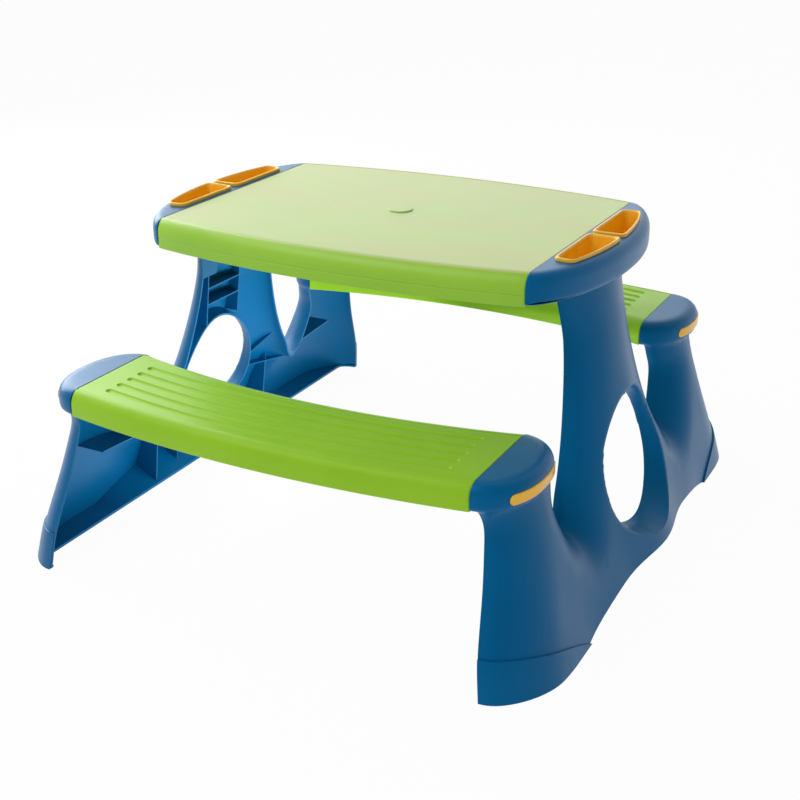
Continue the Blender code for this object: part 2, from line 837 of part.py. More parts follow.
def tray_outline(grow):
    """Plan of one pen tray, on the +Y side of the right cap, grown or shrunk about its middle."""
    inner = top_half_length + tray_seam_land
    near, far = tray_middle_land, tray_reach

    def bow(y):
        share = max(0.0, 1 - (y / top_end_depth) ** 2.05)
        return top_half_length + cap_reach * share ** (1 / 1.5) - tray_margin

    raw = [(inner, near)]
    raw += [(bow(near + (far - near) * k / 6), near + (far - near) * k / 6) for k in range(7)]
    raw += [(inner, far - 0.004)]
    points = [Vector(p) for p in raw]
    line = []
    for k, point in enumerate(points):
        before = points[k - 1] - point
        after = points[(k + 1) % len(points)] - point
        if before.angle(after) > math.radians(155):
            line.append(point)
            continue
        a = point + before.normalized() * tray_corner
        b = point + after.normalized() * tray_corner
        for j in range(4):
            t = j / 3
            line.append((1 - t) ** 2 * a + 2 * t * (1 - t) * point + t * t * b)
    xs = [p.x for p in line]
    ys = [p.y for p in line]
    middle = Vector((0.5 * (min(xs) + max(xs)), 0.5 * (min(ys) + max(ys))))
    half = Vector((0.5 * (max(xs) - min(xs)), 0.5 * (max(ys) - min(ys))))
    return [
        (middle.x + (p.x - middle.x) * (half.x + grow) / half.x, middle.y + (p.y - middle.y) * (half.y + grow) / half.y)
        for p in line
    ]


def make_tray(name, side, end):
    z = table_height + gap
    floor = z - tray_depth
    steps = [
        (-tray_seat - tray_taper - tray_wall, 0, floor + tray_wall),
        (-tray_rim_width - 0.0010, 0, z + 0.30 * tray_rim_height),
        (-tray_rim_width, 0, z + 0.75 * tray_rim_height),
        (-0.70 * tray_rim_width, 0, z + tray_rim_height),
        (-0.30 * tray_rim_width, 0, z + tray_rim_height),
        (0.0, 0, z + 0.70 * tray_rim_height),
        (0.0, 0, z),
        (-tray_seat, 0, z),
        (-tray_seat - tray_taper, 0, floor),
    ]
    bm = stack(lambda grow, _: tray_outline(grow), steps)
    tray = place(name, bm, orange)
    tray.data.transform(Matrix.Diagonal((side, end, 1, 1)))
    if side * end < 0:
        tray.data.flip_normals()
    return tray


def strip_form(grow, outward, inward):
    """A band round the outer side of the right rear bench cap."""
    low = bottom_of_seat + strip_bottom - grow
    high = bottom_of_seat + strip_bottom + strip_height + grow
    outer = [Vector(p) for p in plain_seat_cap_outline(-outward, 0)]
    inner = [Vector(p) for p in plain_seat_cap_outline(inward, 0)]
    keep = []
    for k, (a, b) in enumerate(zip(outer, inner)):
        if abs(a.y - seat_end_middle) <= strip_half_run + grow and a.x > seat_half_length + 0.030:
            keep.append((a, b))
    bm = bmesh.new()
    rings = []
    for k, (a, b) in enumerate(keep):
        pinch = 0.25 if k in (0, len(keep) - 1) else 0.0
        z0 = low + pinch * (high - low)
        z1 = high - pinch * (high - low)
        rings.append([bm.verts.new(v) for v in ((*a, z0), (*a, z1), (*b, z1), (*b, z0))])
    for a, b in zip(rings, rings[1:]):
        for i in range(4):
            n = (i + 1) % 4
            bm.faces.new((a[i], a[n], b[n], b[i]))
    bm.faces.new(rings[0])
    bm.faces.new(rings[-1])
    bmesh.ops.recalc_face_normals(bm, faces=bm.faces)
    return bm


def flipped(bm):
    bmesh.ops.scale(bm, vec=(1, -1, 1), verts=bm.verts)
    bmesh.ops.recalc_face_normals(bm, faces=bm.faces)
    return bm


def cap_steps(under, edge, wall, height, bottom):
    """Outer form of a cap: small round below, large round above."""
    steps = quarter(0, 0, bottom, under, under, 2, under=True)
    return steps + quarter(0, 0, height, edge, edge, 4)


def cap_hollow(wall, edge, height, bottom):
    steps = [(wall, wall, bottom + wall), (wall, wall, height - wall - 0.6 * edge)]
    return steps + [(wall + 0.6 * edge, wall, height - wall)]


def make_frame():
    frame = place("right_end_frame", plate(0.0, 0.0, lambda x0, _: x0), blue)
    for sign in (-1, 1):
        foot = place("foot", plate(-collar_step, collar_step, lambda x0, _: x0 + 2 * gap), cutter=True)
        combine(foot, place("foot_zone", collar_zone(sign), cutter=True), "INTERSECT")
        combine(frame, foot, "UNION")
    table_cap = stack(cap_outline, cap_steps(cap_under_round, cap_edge_round, cap_shell, table_height, bottom_of_top))
    combine(frame, place("table_cap", table_cap, cutter=True), "UNION")
    for sign in (-1, 1):
        bm = stack(seat_cap_outline, cap_steps(0.003, seat_cap_round, cap_shell, seat_height, bottom_of_seat))
        bm = bm if sign > 0 else flipped(bm)
        combine(frame, place("seat_cap", bm, cutter=True), "UNION")
    core = plate(frame_wall, -frame_wall, lambda x0, _: x0 - 0.01, 1.1 * frame_wall, cap_shell)
    core = place("core", core, cutter=True)
    mouth = place("mouth", sole_opening(), cutter=True)
    combine(core, mouth, "UNION")
    hollow = stack(cap_outline, cap_hollow(cap_shell, cap_edge_round, table_height, bottom_of_top))
    combine(core, place("table_cap_hollow", hollow, cutter=True), "UNION")
    for sign in (-1, 1):
        bm = stack(seat_cap_outline, cap_hollow(cap_shell, seat_cap_round, seat_height, bottom_of_seat))
        bm = bm if sign > 0 else flipped(bm)
        combine(core, place("seat_cap_hollow", bm, cutter=True), "UNION")
    combine(frame, core, "DIFFERENCE")
    trim = plate(0.5 * frame_wall, -0.5 * frame_wall, lambda x0, _: x0 + 0.004, 0.5 * frame_wall)
    trim = place("trim", trim, cutter=True)
    lip = place("hole_lip", hole_plug(frame_wall, 1 - hole_lip_depth, 1.3), cutter=True)
    combine(lip, trim, "INTERSECT")
    combine(frame, lip, "UNION")
    combine(frame, place("hole", hole_plug(0.0, -0.6, 1.6, hole_edge), cutter=True), "DIFFERENCE")

    # Ribs inside, trimmed to the middle of the wall
    lines = []
    for z in (ledge_z, ledge_z - ledge_step):
        lines.append(((-rib_y - bite, z), (rib_y + bite, z), ledge_set_back, ledge_set_back))
    for sign in (-1, 1):
        low, high = hole_top - 0.010, bottom_of_top + 0.002
        lines.append(((sign * rib_y, low), (sign * rib_y, high), ledge_set_back, ledge_set_back))
        hole_side = sign * (hole_half_width - 0.005)
        for z, y, rise in ((-0.004, notch_y - 0.036, 0.076), (-0.020, notch_y + 0.012, -0.004)):
            lines.append((
                (hole_side, hole_widest + z), (sign * y, notch_z + rise), hole_gusset_set_back, gusset_set_back
            ))
        notch_end, foot_end = (sign * (notch_y + 0.010), notch_z + 0.014), (sign * (foot_y - 0.130), notch_z + 0.024)
        lines.append((notch_end, foot_end, gusset_set_back, gusset_set_back))
        for y in web_rib_y:
            top = hole_bottom + (y - 0.055) * 0.72
            lines.append(((sign * y, -0.001), (sign * y, top), web_rib_set_back, web_rib_set_back))
    clear = place("clear", hole_plug(0.5 * frame_wall, -0.6, 1.6), cutter=True)
    combine(trim, clear, "DIFFERENCE")
    add_ribs(frame, [rib(*line) for line in lines] + [box_front(-1), box_front(1)], trim)

    # Tongues that reach under the top and the benches
    tongues = []
    holes = []
    for sign in (-1, 1):
        for y in table_screw_y:
            tongues.append(block(
                (top_half_length - tongue_length, sign * y - tongue_width / 2, table_tongue),
                (top_half_length + cap_shell - bite, sign * y + tongue_width / 2, table_tongue + tongue_wall),
            ))
        middle = sign * (seat_end_middle + 0.004)
        tongues.append(block(
            (seat_half_length - tongue_length, middle - seat_tongue_width / 2, seat_tongue),
            (seat_half_length + cap_shell - bite, middle + seat_tongue_width / 2, seat_tongue + tongue_wall),
        ))
    for x, y, tongue, _ in screw_spots():
        holes.append(rod(screw_radius + gap, x, y, tongue - 0.01, tongue + 0.01))
    combine(frame, place("tongues", joined(*tongues), cutter=True), "UNION")
    # Openings of the pen trays, and the recess of each strip
    for sign in (-1, 1):
        bm = stack(lambda grow, _: tray_outline(grow), [
            (-tray_seat - tray_taper + slip, 0, table_height - tray_depth),
            (-tray_seat + slip, 0, table_height),
            (-tray_seat + slip, 0, table_height + 0.01),
        ])
        holes.append(bm if sign > 0 else flipped(bm))
        bm = strip_form(gap, 0.004, strip_sink + gap)
        holes.append(bm if sign > 0 else flipped(bm))
    for hole in holes:
        bmesh.ops.recalc_face_normals(hole, faces=hole.faces)
    combine(frame, place("frame_holes", joined(*holes), cutter=True), "DIFFERENCE")
    flatten(frame)
    other = place("left_end_frame", bmesh.new(), blue)
    other.data = frame.data.copy()
    other.data.transform(Matrix.Scale(-1, 4, (1, 0, 0)))
    other.data.flip_normals()
    return frame, other


def make_screws():
    count = {"table": 0, "seat": 0}
    for x, y, tongue, held in screw_spots():
        for side in (-1, 1):
            count[held] += 1
            z = tongue - gap
            head = rod(screw_head_radius, side * x, y, z - screw_head_height, z, 12)
            screw = place(f"{held}_screw_{count[held]:02d}", head, steel)
            shaft = rod(screw_radius, side * x, y, z - bite, z + screw_length, 8)
            combine(screw, place("shaft", shaft, cutter=True), "UNION")
            slot = block(
                (side * x - screw_head_radius * 0.7, y - 0.0005, z - screw_head_height - 0.001),
                (side * x + screw_head_radius * 0.7, y + 0.0005, z - screw_head_height + 0.001),
            )
            combine(screw, place("slot", slot, cutter=True), "DIFFERENCE")


def make_strips():
    for side, across in ((-1, "left"), (1, "right")):
        for end, along in ((-1, "front"), (1, "back")):
            bm = strip_form(0.0, strip_proud, strip_sink)
            strip = place(f"{along}_{across}_strip", bm, orange)
            strip.data.transform(Matrix.Diagonal((side, end, 1, 1)))
            if side * end < 0:
                strip.data.flip_normals()


make_top()
make_pole_cap()
make_seat("front_bench", -1)
make_seat("back_bench", 1)
make_frame()
for side, across in ((-1, "left"), (1, "right")):
    for end, along in ((-1, "front"), (1, "back")):
        make_tray(f"{along}_{across}_tray", side, end)
make_strips()
make_screws()
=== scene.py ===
# Looks of the kids table and bench set. Metres, Z up, X along the table, back bench at +Y.
import math

import bmesh
import bpy
import numpy as np
from mathutils import Matrix, Vector
from mathutils.bvhtree import BVHTree
from mathutils.geometry import delaunay_2d_cdt


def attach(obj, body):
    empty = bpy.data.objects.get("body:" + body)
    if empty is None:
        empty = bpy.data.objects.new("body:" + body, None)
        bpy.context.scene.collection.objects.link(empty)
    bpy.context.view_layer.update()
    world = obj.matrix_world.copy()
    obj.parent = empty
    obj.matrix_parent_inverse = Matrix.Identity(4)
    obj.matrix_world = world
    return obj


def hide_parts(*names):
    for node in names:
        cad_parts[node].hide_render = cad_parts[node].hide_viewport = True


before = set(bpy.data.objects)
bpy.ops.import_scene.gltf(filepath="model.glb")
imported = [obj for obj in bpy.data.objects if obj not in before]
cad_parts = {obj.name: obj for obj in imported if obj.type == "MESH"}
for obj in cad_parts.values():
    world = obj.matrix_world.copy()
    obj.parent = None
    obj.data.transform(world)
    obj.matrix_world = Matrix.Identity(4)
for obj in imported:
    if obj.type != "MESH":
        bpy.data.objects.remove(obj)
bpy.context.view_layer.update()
print("frame loaded")

fits = {"gap": 0.0003, "slip": 0.0008, "bite": 0.001, "seam": 0.0015}

table = {
    "height": 0.500, "halfLength": 0.306, "halfDepth": 0.252, "endDepth": 0.222, "rim": 0.045,
    "round": 0.018, "wall": 0.0035, "rib": 0.0025, "ribDepth": 0.020, "ribRows": 3, "ribColumns": 4,
    "poleRadius": 0.0165, "sleeveWall": 0.003, "sleeveLength": 0.030, "gateX": 0.122, "gateRadius": 0.0081,
    "gateDepth": 0.0006,
    # inset and height of the lower band, of the faint crease over it and of the start of the upper band
    "lowerBand": ((0.0012, 0.0), (0.0004, 0.0008), (0.0, 0.003), (0.0, 0.0150)),
    "crease": ((0.0007, 0.0157), (0.0002, 0.0166), (0.0, 0.0185)), "swell": 0.004,
    "land": 0.004,
}
bench = {
    "height": 0.287, "rim": 0.038, "innerMid": 0.278, "outerMid": 0.458, "innerEnd": 0.237, "outerEnd": 0.430,
    "round": 0.018, "roundIn": 0.026, "wall": 0.0035, "topWall": 0.0060, "rib": 0.0025, "ribDepth": 0.014,
    "ribCount": 5, "grooveCount": 5, "grooveWidth": 0.0125, "grooveDepth": 0.0030, "groovePitch": 0.0245,
    "grooveLand": 0.042, "lowerEdge": ((0.0012, 0.0), (0.0003, 0.0009), (0.0, 0.003)), "swell": 0.006,
    "land": 0.0025,
}
endFrame = {
    "wall": 0.004, "openLean": 0.125, "openStep": 0.0012, "faceFloor": 0.4800, "faceLean": 0.400,
    "faceCurve": 0.265, "webSetBack": 0.022, "webFall": 0.030, "middleSwell": 0.100, "legFloor": 0.4455,
    "legLean": 0.260, "legCrown": 0.022, "sideRound": 0.064, "legRound": 0.100, "fullness": 2.1,
    # where the face passes from web to leg and starts to fall back, as shares of the foot's y
    "legBlend": (0.30, 0.60), "crownStart": 0.70,
    "notchY": 0.205, "notchZ": 0.124, "waist": 0.102, "head": 0.120, "knee": 0.140, "footY": 0.4735,
    "footLength": 0.195, "archRise": 0.034, "soleEdge": 0.394, "collarHeight": 0.060, "collarStep": 0.003,
    "capReach": 0.0750, "capRound": 0.016, "capUnder": 0.007, "capShell": 0.0035, "seatCapReach": 0.0645,
    "seatCapRound": 0.017, "seatCapUnder": 0.004, "capFullness": (1.5, 2.05), "seatCapFullness": (1.9, 2.3),
    "tail": 0.015, "legSplit": 0.225, "voxel": 0.0030, "softening": 8,
    # height above the collar where exact and soft forms join, run and end of the blend over that
    "joint": 0.006, "blendRun": 0.022, "blendEnd": 0.030,
}
hole = {
    "top": 0.272, "bottom": 0.052, "widest": 0.140, "halfWidth": 0.116, "narrowing": 0.12, "taper": 0.022,
    "lipDepth": 0.45,
}
ribs = {
    "wall": 0.0025, "ledgeZ": 0.330, "ledgeStep": 0.030, "ledgeBack": 0.026, "uprightY": 0.046,
    "webY": (0.090, 0.165), "webBack": (0.048, 0.036), "gussetBack": 0.005, "holeGussetBack": 0.054,
    "boxBack": 0.010, "boxZ": 0.362, "webTop": 0.0124, "webLean": 0.72,
    # height of a gusset's start from the widest of the hole, its end in y and z from the notch
    "gussets": ((-0.004, -0.036, 0.076), (-0.020, 0.012, -0.004)),
    "legGusset": ((0.010, 0.014), (-0.130, 0.024)),
}
tongue = {
    "length": 0.040, "width": 0.036, "seatWidth": 0.090, "wall": 0.004, "bossRadius": 0.0055,
    "screwRadius": 0.0020, "screwLength": 0.018, "tableY": (0.070, 0.160), "seatSpread": 0.056,
    "seatShift": 0.004, "tableDrop": 0.010, "seatDrop": 0.0125, "room": 0.012,
}
tray = {
    "margin": 0.016, "seamLand": 0.007, "middleLand": 0.006, "reach": 0.146, "rimHeight": 0.0050,
    "rimWidth": 0.0045, "depth": 0.036, "wall": 0.0018, "taper": 0.0055, "seat": 0.0028, "corner": 0.011,
}
strip = {
    "height": 0.0155, "bottom": 0.0075, "proud": 0.0012, "sink": 0.0012, "outerRun": 0.076, "innerRun": 0.056,
}

gap = fits["gap"]
bite = fits["bite"]
innerShare = 0.6  # radius inside a rounded corner, as a share of the outer one
underTop = table["height"] - table["rim"]
underSeat = bench["height"] - bench["rim"]
halfArch = endFrame["footY"] - endFrame["footLength"]


def openX(z):
    return table["halfLength"] + endFrame["openStep"] + endFrame["openLean"] * (underTop - z)


seatHalf = openX(bench["height"]) - 2 * endFrame["openStep"]
seatEndMid = 0.5 * (bench["innerEnd"] + bench["outerEnd"])
seatEndHalf = 0.5 * (bench["outerEnd"] - bench["innerEnd"])


def eased(value):
    share = min(1.0, max(0.0, value))
    return share * share * (3 - 2 * share)


def crown(y):
    # how far the face falls back towards the outer side of a leg
    start = endFrame["crownStart"]
    run = max(0.0, abs(y) / endFrame["footY"] - start) / (1 - start)
    return endFrame["legCrown"] * run * run


def faceX(y, z):
    f = endFrame
    middle = f["faceFloor"] - f["faceLean"] * z + f["faceCurve"] * z * z
    web = middle - f["webSetBack"] - f["webFall"] * z
    leg = f["legFloor"] - f["legLean"] * z
    start, stop = f["legBlend"]
    base = web + (leg - web) * eased((abs(y) / f["footY"] - start) / (stop - start))
    return base + (middle - base) * math.exp(-((y / f["middleSwell"]) ** 2)) - crown(y)


def archZ(y):
    return max(0.0, endFrame["archRise"] * (1 - abs(y / halfArch) ** 2.5))


# Materials

def addNode(tree, kind, values=None, **settings):
    node = tree.nodes.new(kind)
    for key, value in settings.items():
        setattr(node, key, value)
    for socket, value in (values or {}).items():
        node.inputs[socket].default_value = value
    return node


def mouldedSkin():
    # fine grain, slow mottling and faint flow lines, shared by all the plastics
    group = bpy.data.node_groups.new("mouldedSkin", "ShaderNodeTree")
    noises = {
        "Grain": (900.0, {"Detail": 2.0}), "Mottle": (9.0, {"Detail": 5.0}),
        "Flow": (5.0, {"Detail": 3.0, "Distortion": 1.6}),
    }
    face = group.interface
    for name, (scale, _) in noises.items():
        socket = face.new_socket(f"{name} Scale", in_out="INPUT", socket_type="NodeSocketFloat")
        socket.default_value = scale
        face.new_socket(name, in_out="OUTPUT", socket_type="NodeSocketFloat")
    start = addNode(group, "NodeGroupInput")
    end = addNode(group, "NodeGroupOutput")
    place = addNode(group, "ShaderNodeTexCoord")
    stretch = addNode(group, "ShaderNodeMapping", {"Scale": (0.35, 1.0, 1.0)})
    link = group.links.new
    link(place.outputs["Object"], stretch.inputs["Vector"])
    for name, (_, values) in noises.items():
        noise = addNode(group, "ShaderNodeTexNoise", values)
        link((stretch if name == "Flow" else place).outputs["Vector" if name == "Flow" else "Object"],
             noise.inputs["Vector"])
        link(start.outputs[f"{name} Scale"], noise.inputs["Scale"])
        link(noise.outputs["Fac"], end.inputs[name])
    return group


skinGroup = mouldedSkin()


def sheenPaintOver(tree, look, flow, surface):
    # painted sheen: the upper face of the top is painted paler, with greener streaks, in place of its grazing
    # reflection of the studio light
    place = addNode(tree, "ShaderNodeTexCoord")
    height = addNode(tree, "ShaderNodeSeparateXYZ")
    # mask of the painted sheen, by height: only the flat upper face and the top of its rounded edge
    upper = addNode(tree, "ShaderNodeMapRange", {
        "From Min": table["height"] - look["sheenPaintDepth"], "From Max": table["height"] - 0.0001,
    }, interpolation_type="SMOOTHSTEP")
    low, high = look["streaks"]
    streaks = addNode(tree, "ShaderNodeMapRange", {
        "From Min": low, "From Max": high, "To Min": look["sheenPaintLeast"],
    }, interpolation_type="SMOOTHSTEP")
    share = addNode(tree, "ShaderNodeMath", operation="MULTIPLY")
    sheenPainted = addNode(tree, "ShaderNodeMix", {"B": (*look["sheenPaint"], 1)}, data_type="RGBA")
    link = tree.links.new
    link(place.outputs["Object"], height.inputs["Vector"])
    link(height.outputs["Z"], upper.inputs["Value"])
    link(flow, streaks.inputs["Value"])
    link(upper.outputs["Result"], share.inputs[0])
    link(streaks.outputs["Result"], share.inputs[1])
    link(share.outputs[0], sheenPainted.inputs["Factor"])
    link(surface, sheenPainted.inputs["A"])
    return sheenPainted.outputs["Result"]


def newMaterial(name):
    made = bpy.data.materials.new(name)
    made.use_nodes = True
    return made, made.node_tree, made.node_tree.links.new


def plastic(name, look):
    made, tree, link = newMaterial(name)
    shader = tree.nodes["Principled BSDF"]
    shader.inputs["IOR"].default_value = 1.5
    shader.inputs["Specular Tint"].default_value = (*look["glint"], 1)
    shader.inputs["Sheen Weight"].default_value = look.get("haze", 0.0)
    shader.inputs["Sheen Roughness"].default_value = look.get("hazeRoughness", 0.5)
    skin = addNode(tree, "ShaderNodeGroup", {
        "Grain Scale": look["grainScale"], "Mottle Scale": look["mottleScale"],
        "Flow Scale": look["flowScale"],
    }, node_tree=skinGroup)
    patches = addNode(tree, "ShaderNodeMapRange", {"From Min": 0.42, "From Max": 0.72})
    shade = addNode(
        tree, "ShaderNodeMix", {"A": (*look["colour"], 1), "B": (*look["deepColour"], 1)}, data_type="RGBA"
    )
    link(skin.outputs["Mottle"], patches.inputs["Value"])
    link(patches.outputs["Result"], shade.inputs["Factor"])
    surface = shade.outputs["Result"]
    # paints a paler colour over the top's upper face, a painted sheen
    if "sheenPaint" in look:
        surface = sheenPaintOver(tree, look, skin.outputs["Flow"], surface)
    link(surface, shader.inputs["Base Color"])
    rough, spread = look["roughness"], look["roughnessSpread"]
    gloss = addNode(tree, "ShaderNodeMapRange", {
        "From Min": 0.3, "From Max": 0.7, "To Min": rough - spread, "To Max": rough + spread,
    })
    link(skin.outputs["Flow"], gloss.inputs["Value"])
    link(gloss.outputs["Result"], shader.inputs["Roughness"])
    fine = addNode(tree, "ShaderNodeBump", {"Strength": look["grainStrength"], "Distance": 0.0002})
    waves = addNode(tree, "ShaderNodeBump", {"Strength": look["waveStrength"], "Distance": 0.002})
    link(skin.outputs["Grain"], fine.inputs["Height"])
    link(skin.outputs["Flow"], waves.inputs["Height"])
    link(waves.outputs["Normal"], fine.inputs["Normal"])
    link(fine.outputs["Normal"], shader.inputs["Normal"])
    return made


bluePlastic = plastic("bluePlastic", {
    "colour": (0.001, 0.112, 0.285), "deepColour": (0.001, 0.102, 0.262), "glint": (0.05, 0.40, 0.75),
    "roughness": 0.36, "roughnessSpread": 0.05, "grainScale": 950, "mottleScale": 7, "flowScale": 4,
    "grainStrength": 0.20, "waveStrength": 0.12,
})
greenLook = {
    "colour": (0.304, 0.580, 0.026), "deepColour": (0.272, 0.540, 0.020), "glint": (0.45, 0.62, 0.20),
    "roughness": 0.41, "roughnessSpread": 0.06, "grainScale": 950, "mottleScale": 6, "flowScale": 5,
    "grainStrength": 0.20, "waveStrength": 0.16,
}
greenPlastic = plastic("greenPlastic", greenLook)
# the top's green with a painted sheen: paler colour over its upper face, besides the shader's own Sheen
# Weight
topPlastic = plastic("topPlastic", greenLook | {
    "sheenPaint": (0.475, 0.560, 0.180), "sheenPaintDepth": 0.0022, "sheenPaintLeast": 0.45, "streaks": (0.32, 0.62),
    "roughness": 0.42, "flowScale": 5.5, "glint": (1.0, 1.0, 0.9), "haze": 0.42, "hazeRoughness": 0.40,
})
orangePlastic = plastic("orangePlastic", {
    "colour": (0.960, 0.530, 0.008), "deepColour": (0.925, 0.485, 0.006), "glint": (1.0, 1.0, 1.0),
    "roughness": 0.24, "roughnessSpread": 0.04, "grainScale": 1000, "mottleScale": 24, "flowScale": 12,
    "grainStrength": 0.15, "waveStrength": 0.06,
})


def zincSteel():
    made, tree, link = newMaterial("zincSteel")
    shader = tree.nodes["Principled BSDF"]
    shader.inputs["Metallic"].default_value = 1.0
    place = addNode(tree, "ShaderNodeTexCoord")
    cloud = addNode(tree, "ShaderNodeTexNoise", {"Scale": 260})
    tone = addNode(
        tree, "ShaderNodeMix", {"A": (0.70, 0.69, 0.64, 1), "B": (0.52, 0.53, 0.52, 1)}, data_type="RGBA"
    )
    rough = addNode(tree, "ShaderNodeMapRange", {"To Min": 0.25, "To Max": 0.48})
    link(place.outputs["Object"], cloud.inputs["Vector"])
    link(cloud.outputs["Fac"], tone.inputs["Factor"])
    link(cloud.outputs["Fac"], rough.inputs["Value"])
    link(tone.outputs["Result"], shader.inputs["Base Color"])
    link(rough.outputs["Result"], shader.inputs["Roughness"])
    return made


screwSteel = zincSteel()
print("materials ready")


# Mesh helpers

def addObject(name, data):
    made = bpy.data.objects.new(name, data)
    bpy.context.scene.collection.objects.link(made)
    return made


def toObject(name, bm, material=None):
    bmesh.ops.recalc_face_normals(bm, faces=bm.faces)
    if bm.calc_volume(signed=True) < 0:  # a cup can come out inside out
        bmesh.ops.reverse_faces(bm, faces=bm.faces)
    mesh = bpy.data.meshes.new(name)
    bm.to_mesh(mesh)
    bm.free()
    if material:
        mesh.materials.append(material)
    return addObject(name, mesh)


def combine(thing, other, operation):
    # joins or cuts at once, then drops the cutter
    step = thing.modifiers.new("combine", "BOOLEAN")
    step.operation = operation
    step.solver = "MANIFOLD"
    step.object = other
    applyModifiers(thing)
    bpy.data.objects.remove(other, do_unlink=True)


def applyModifiers(thing):
    graph = bpy.context.evaluated_depsgraph_get()
    mesh = bpy.data.meshes.new_from_object(thing.evaluated_get(graph))
    material = thing.data.materials[0] if thing.data.materials else None
    mesh.materials.clear()
    mesh.materials.append(material)
    mesh.polygons.foreach_set("material_index", [0] * len(mesh.polygons))
    thing.modifiers.clear()
    old = thing.data
    thing.data = mesh
    bpy.data.meshes.remove(old)
    if not mesh.polygons:
        print("empty:", thing.name)


def joinOn(thing, name, bm):
    combine(thing, toObject(name, bm), "UNION")


def cutOut(thing, name, bm):
    combine(thing, toObject(name, bm), "DIFFERENCE")


def smoothBy(thing, degrees):
    thing.data.shade_smooth()
    thing.data.set_sharp_from_angle(angle=math.radians(degrees))


def weighted(thing):
    step = thing.modifiers.new("evenNormals", "WEIGHTED_NORMAL")
    step.keep_sharp = True
    step.weight = 90


def stackRings(outline, steps):
    bm = bmesh.new()
    side, end, z = steps[0]
    first = [bm.verts.new((x, y, z)) for x, y in outline(side, end)]
    face = bm.faces.new(first)
    for side, end, z in steps[1:]:
        face = bmesh.ops.extrude_discrete_faces(bm, faces=[face])["faces"][0]
        for vert, (x, y) in zip(face.verts, outline(side, end)):
            vert.co = (x, y, z)
    bm.faces.new(reversed(first))
    return bm


def quarter(z, radius, drop, count, under=False):
    found = []
    for k in range(count + 1):
        turn = 0.5 * math.pi * (k if not under else count - k) / count
        rise = (drop if under else -drop) * (1 - math.sin(turn))
        found.append((radius * (1 - math.cos(turn)), 0, z + rise))
    return found


def upperEdge(radius, swell, high, land):
    # the rounded edge of a top or seat, with a fine bevel where it meets the end frames
    steps = quarter(high, radius, radius + swell, 12)[:-1]
    return steps + [(radius - 0.0006, 0, high - 0.7 * fits["seam"]), (radius + land, fits["seam"], high)]


def block(low, high):
    bm = bmesh.new()
    bmesh.ops.create_cube(bm, size=1.0)
    bmesh.ops.scale(bm, vec=[b - a for a, b in zip(low, high)], verts=bm.verts)
    bmesh.ops.translate(bm, vec=[0.5 * (a + b) for a, b in zip(low, high)], verts=bm.verts)
    return bm


def rod(radius, x, y, z0, z1, sides=32):
    bm = bmesh.new()
    spot = Matrix.Translation((x, y, 0.5 * (z0 + z1)))
    bmesh.ops.create_cone(
        bm, cap_ends=True, segments=sides, radius1=radius, radius2=radius, depth=z1 - z0, matrix=spot
    )
    return bm


def extruded(points, move):
    bm = bmesh.new()
    face = bm.faces.new([bm.verts.new(point) for point in points])
    top = bmesh.ops.extrude_face_region(bm, geom=[face])["geom"]
    bmesh.ops.translate(bm, vec=move, verts=[v for v in top if isinstance(v, bmesh.types.BMVert)])
    return bm


def bandFaces(bm, rings):
    for a, b in zip(rings, rings[1:]):
        for k in range(len(a)):
            n = (k + 1) % len(a)
            bm.faces.new((a[k], a[n], b[n], b[k]))


def mirrored(bm, x=1, y=1):
    bmesh.ops.scale(bm, vec=(x, y, 1), verts=bm.verts)
    return bm


def spline(points, per):
    ends = [2 * Vector(points[0]) - Vector(points[1])]
    ends += [Vector(p) for p in points]
    ends += [2 * ends[-1] - ends[-2]]
    line = []
    for a, b, c, d in zip(ends, ends[1:], ends[2:], ends[3:]):
        for k in range(per):
            t = k / per
            line.append(
                0.5 * (2 * b + (c - a) * t + (2 * a - 5 * b + 4 * c - d) * t * t
                       + (3 * b - a - 3 * c + d) * t ** 3)
            )
    line.append(ends[-2])
    return line


def pushed(line, amount):
    moved = []
    for k, point in enumerate(line):
        run = line[min(k + 1, len(line) - 1)] - line[max(k - 1, 0)]
        run.normalize()
        moved.append(point + amount * Vector((-run.y, run.x)))
    return moved


def straight(start, stop, count, crowding=1.0):
    return [start.lerp(stop, (k / (count + 1)) ** crowding) for k in range(1, count + 1)]


# Outlines in plan

def topEdge(x):
    return table["halfDepth"] - (table["halfDepth"] - table["endDepth"]) * (x / table["halfLength"]) ** 2


def seamed(line, bevel):
    # cuts the four corners at the seams, for the fine dark line between green and blue
    middle = len(line) // 2
    (x0, y0), (x1, y1), (x2, y2), (x3, y3) = line[0], line[middle - 1], line[middle], line[-1]
    found = [(x0, y0 + bevel), (x0 + bevel, y0)] + line[1:middle - 1] + [(x1 - bevel, y1), (x1, y1 + bevel)]
    found += [(x2, y2 - bevel), (x2 - bevel, y2)] + line[middle + 1:-1] + [(x3 + bevel, y3), (x3, y3 - bevel)]
    return found


def topOutline(side, end):
    reach = table["halfLength"] - gap - end
    xs = [-reach + 2 * reach * k / 48 for k in range(49)]
    line = [(x, side - topEdge(x)) for x in xs] + [(x, topEdge(x) - side) for x in reversed(xs)]
    return seamed(line, fits["seam"])


def seatEdges(x):
    bow = 1 - (x / seatHalf) ** 2
    inner = bench["innerEnd"] + (bench["innerMid"] - bench["innerEnd"]) * bow
    outer = bench["outerEnd"] + (bench["outerMid"] - bench["outerEnd"]) * bow
    return inner, outer


def seatOutline(side, end):
    reach = seatHalf - gap - end
    xs = [-reach + 2 * reach * k / 48 for k in range(49)]
    inner = [(x, seatEdges(x)[0] + side * bench["roundIn"] / bench["round"]) for x in xs]
    return seamed(inner + [(x, seatEdges(x)[1] - side) for x in reversed(xs)], fits["seam"])


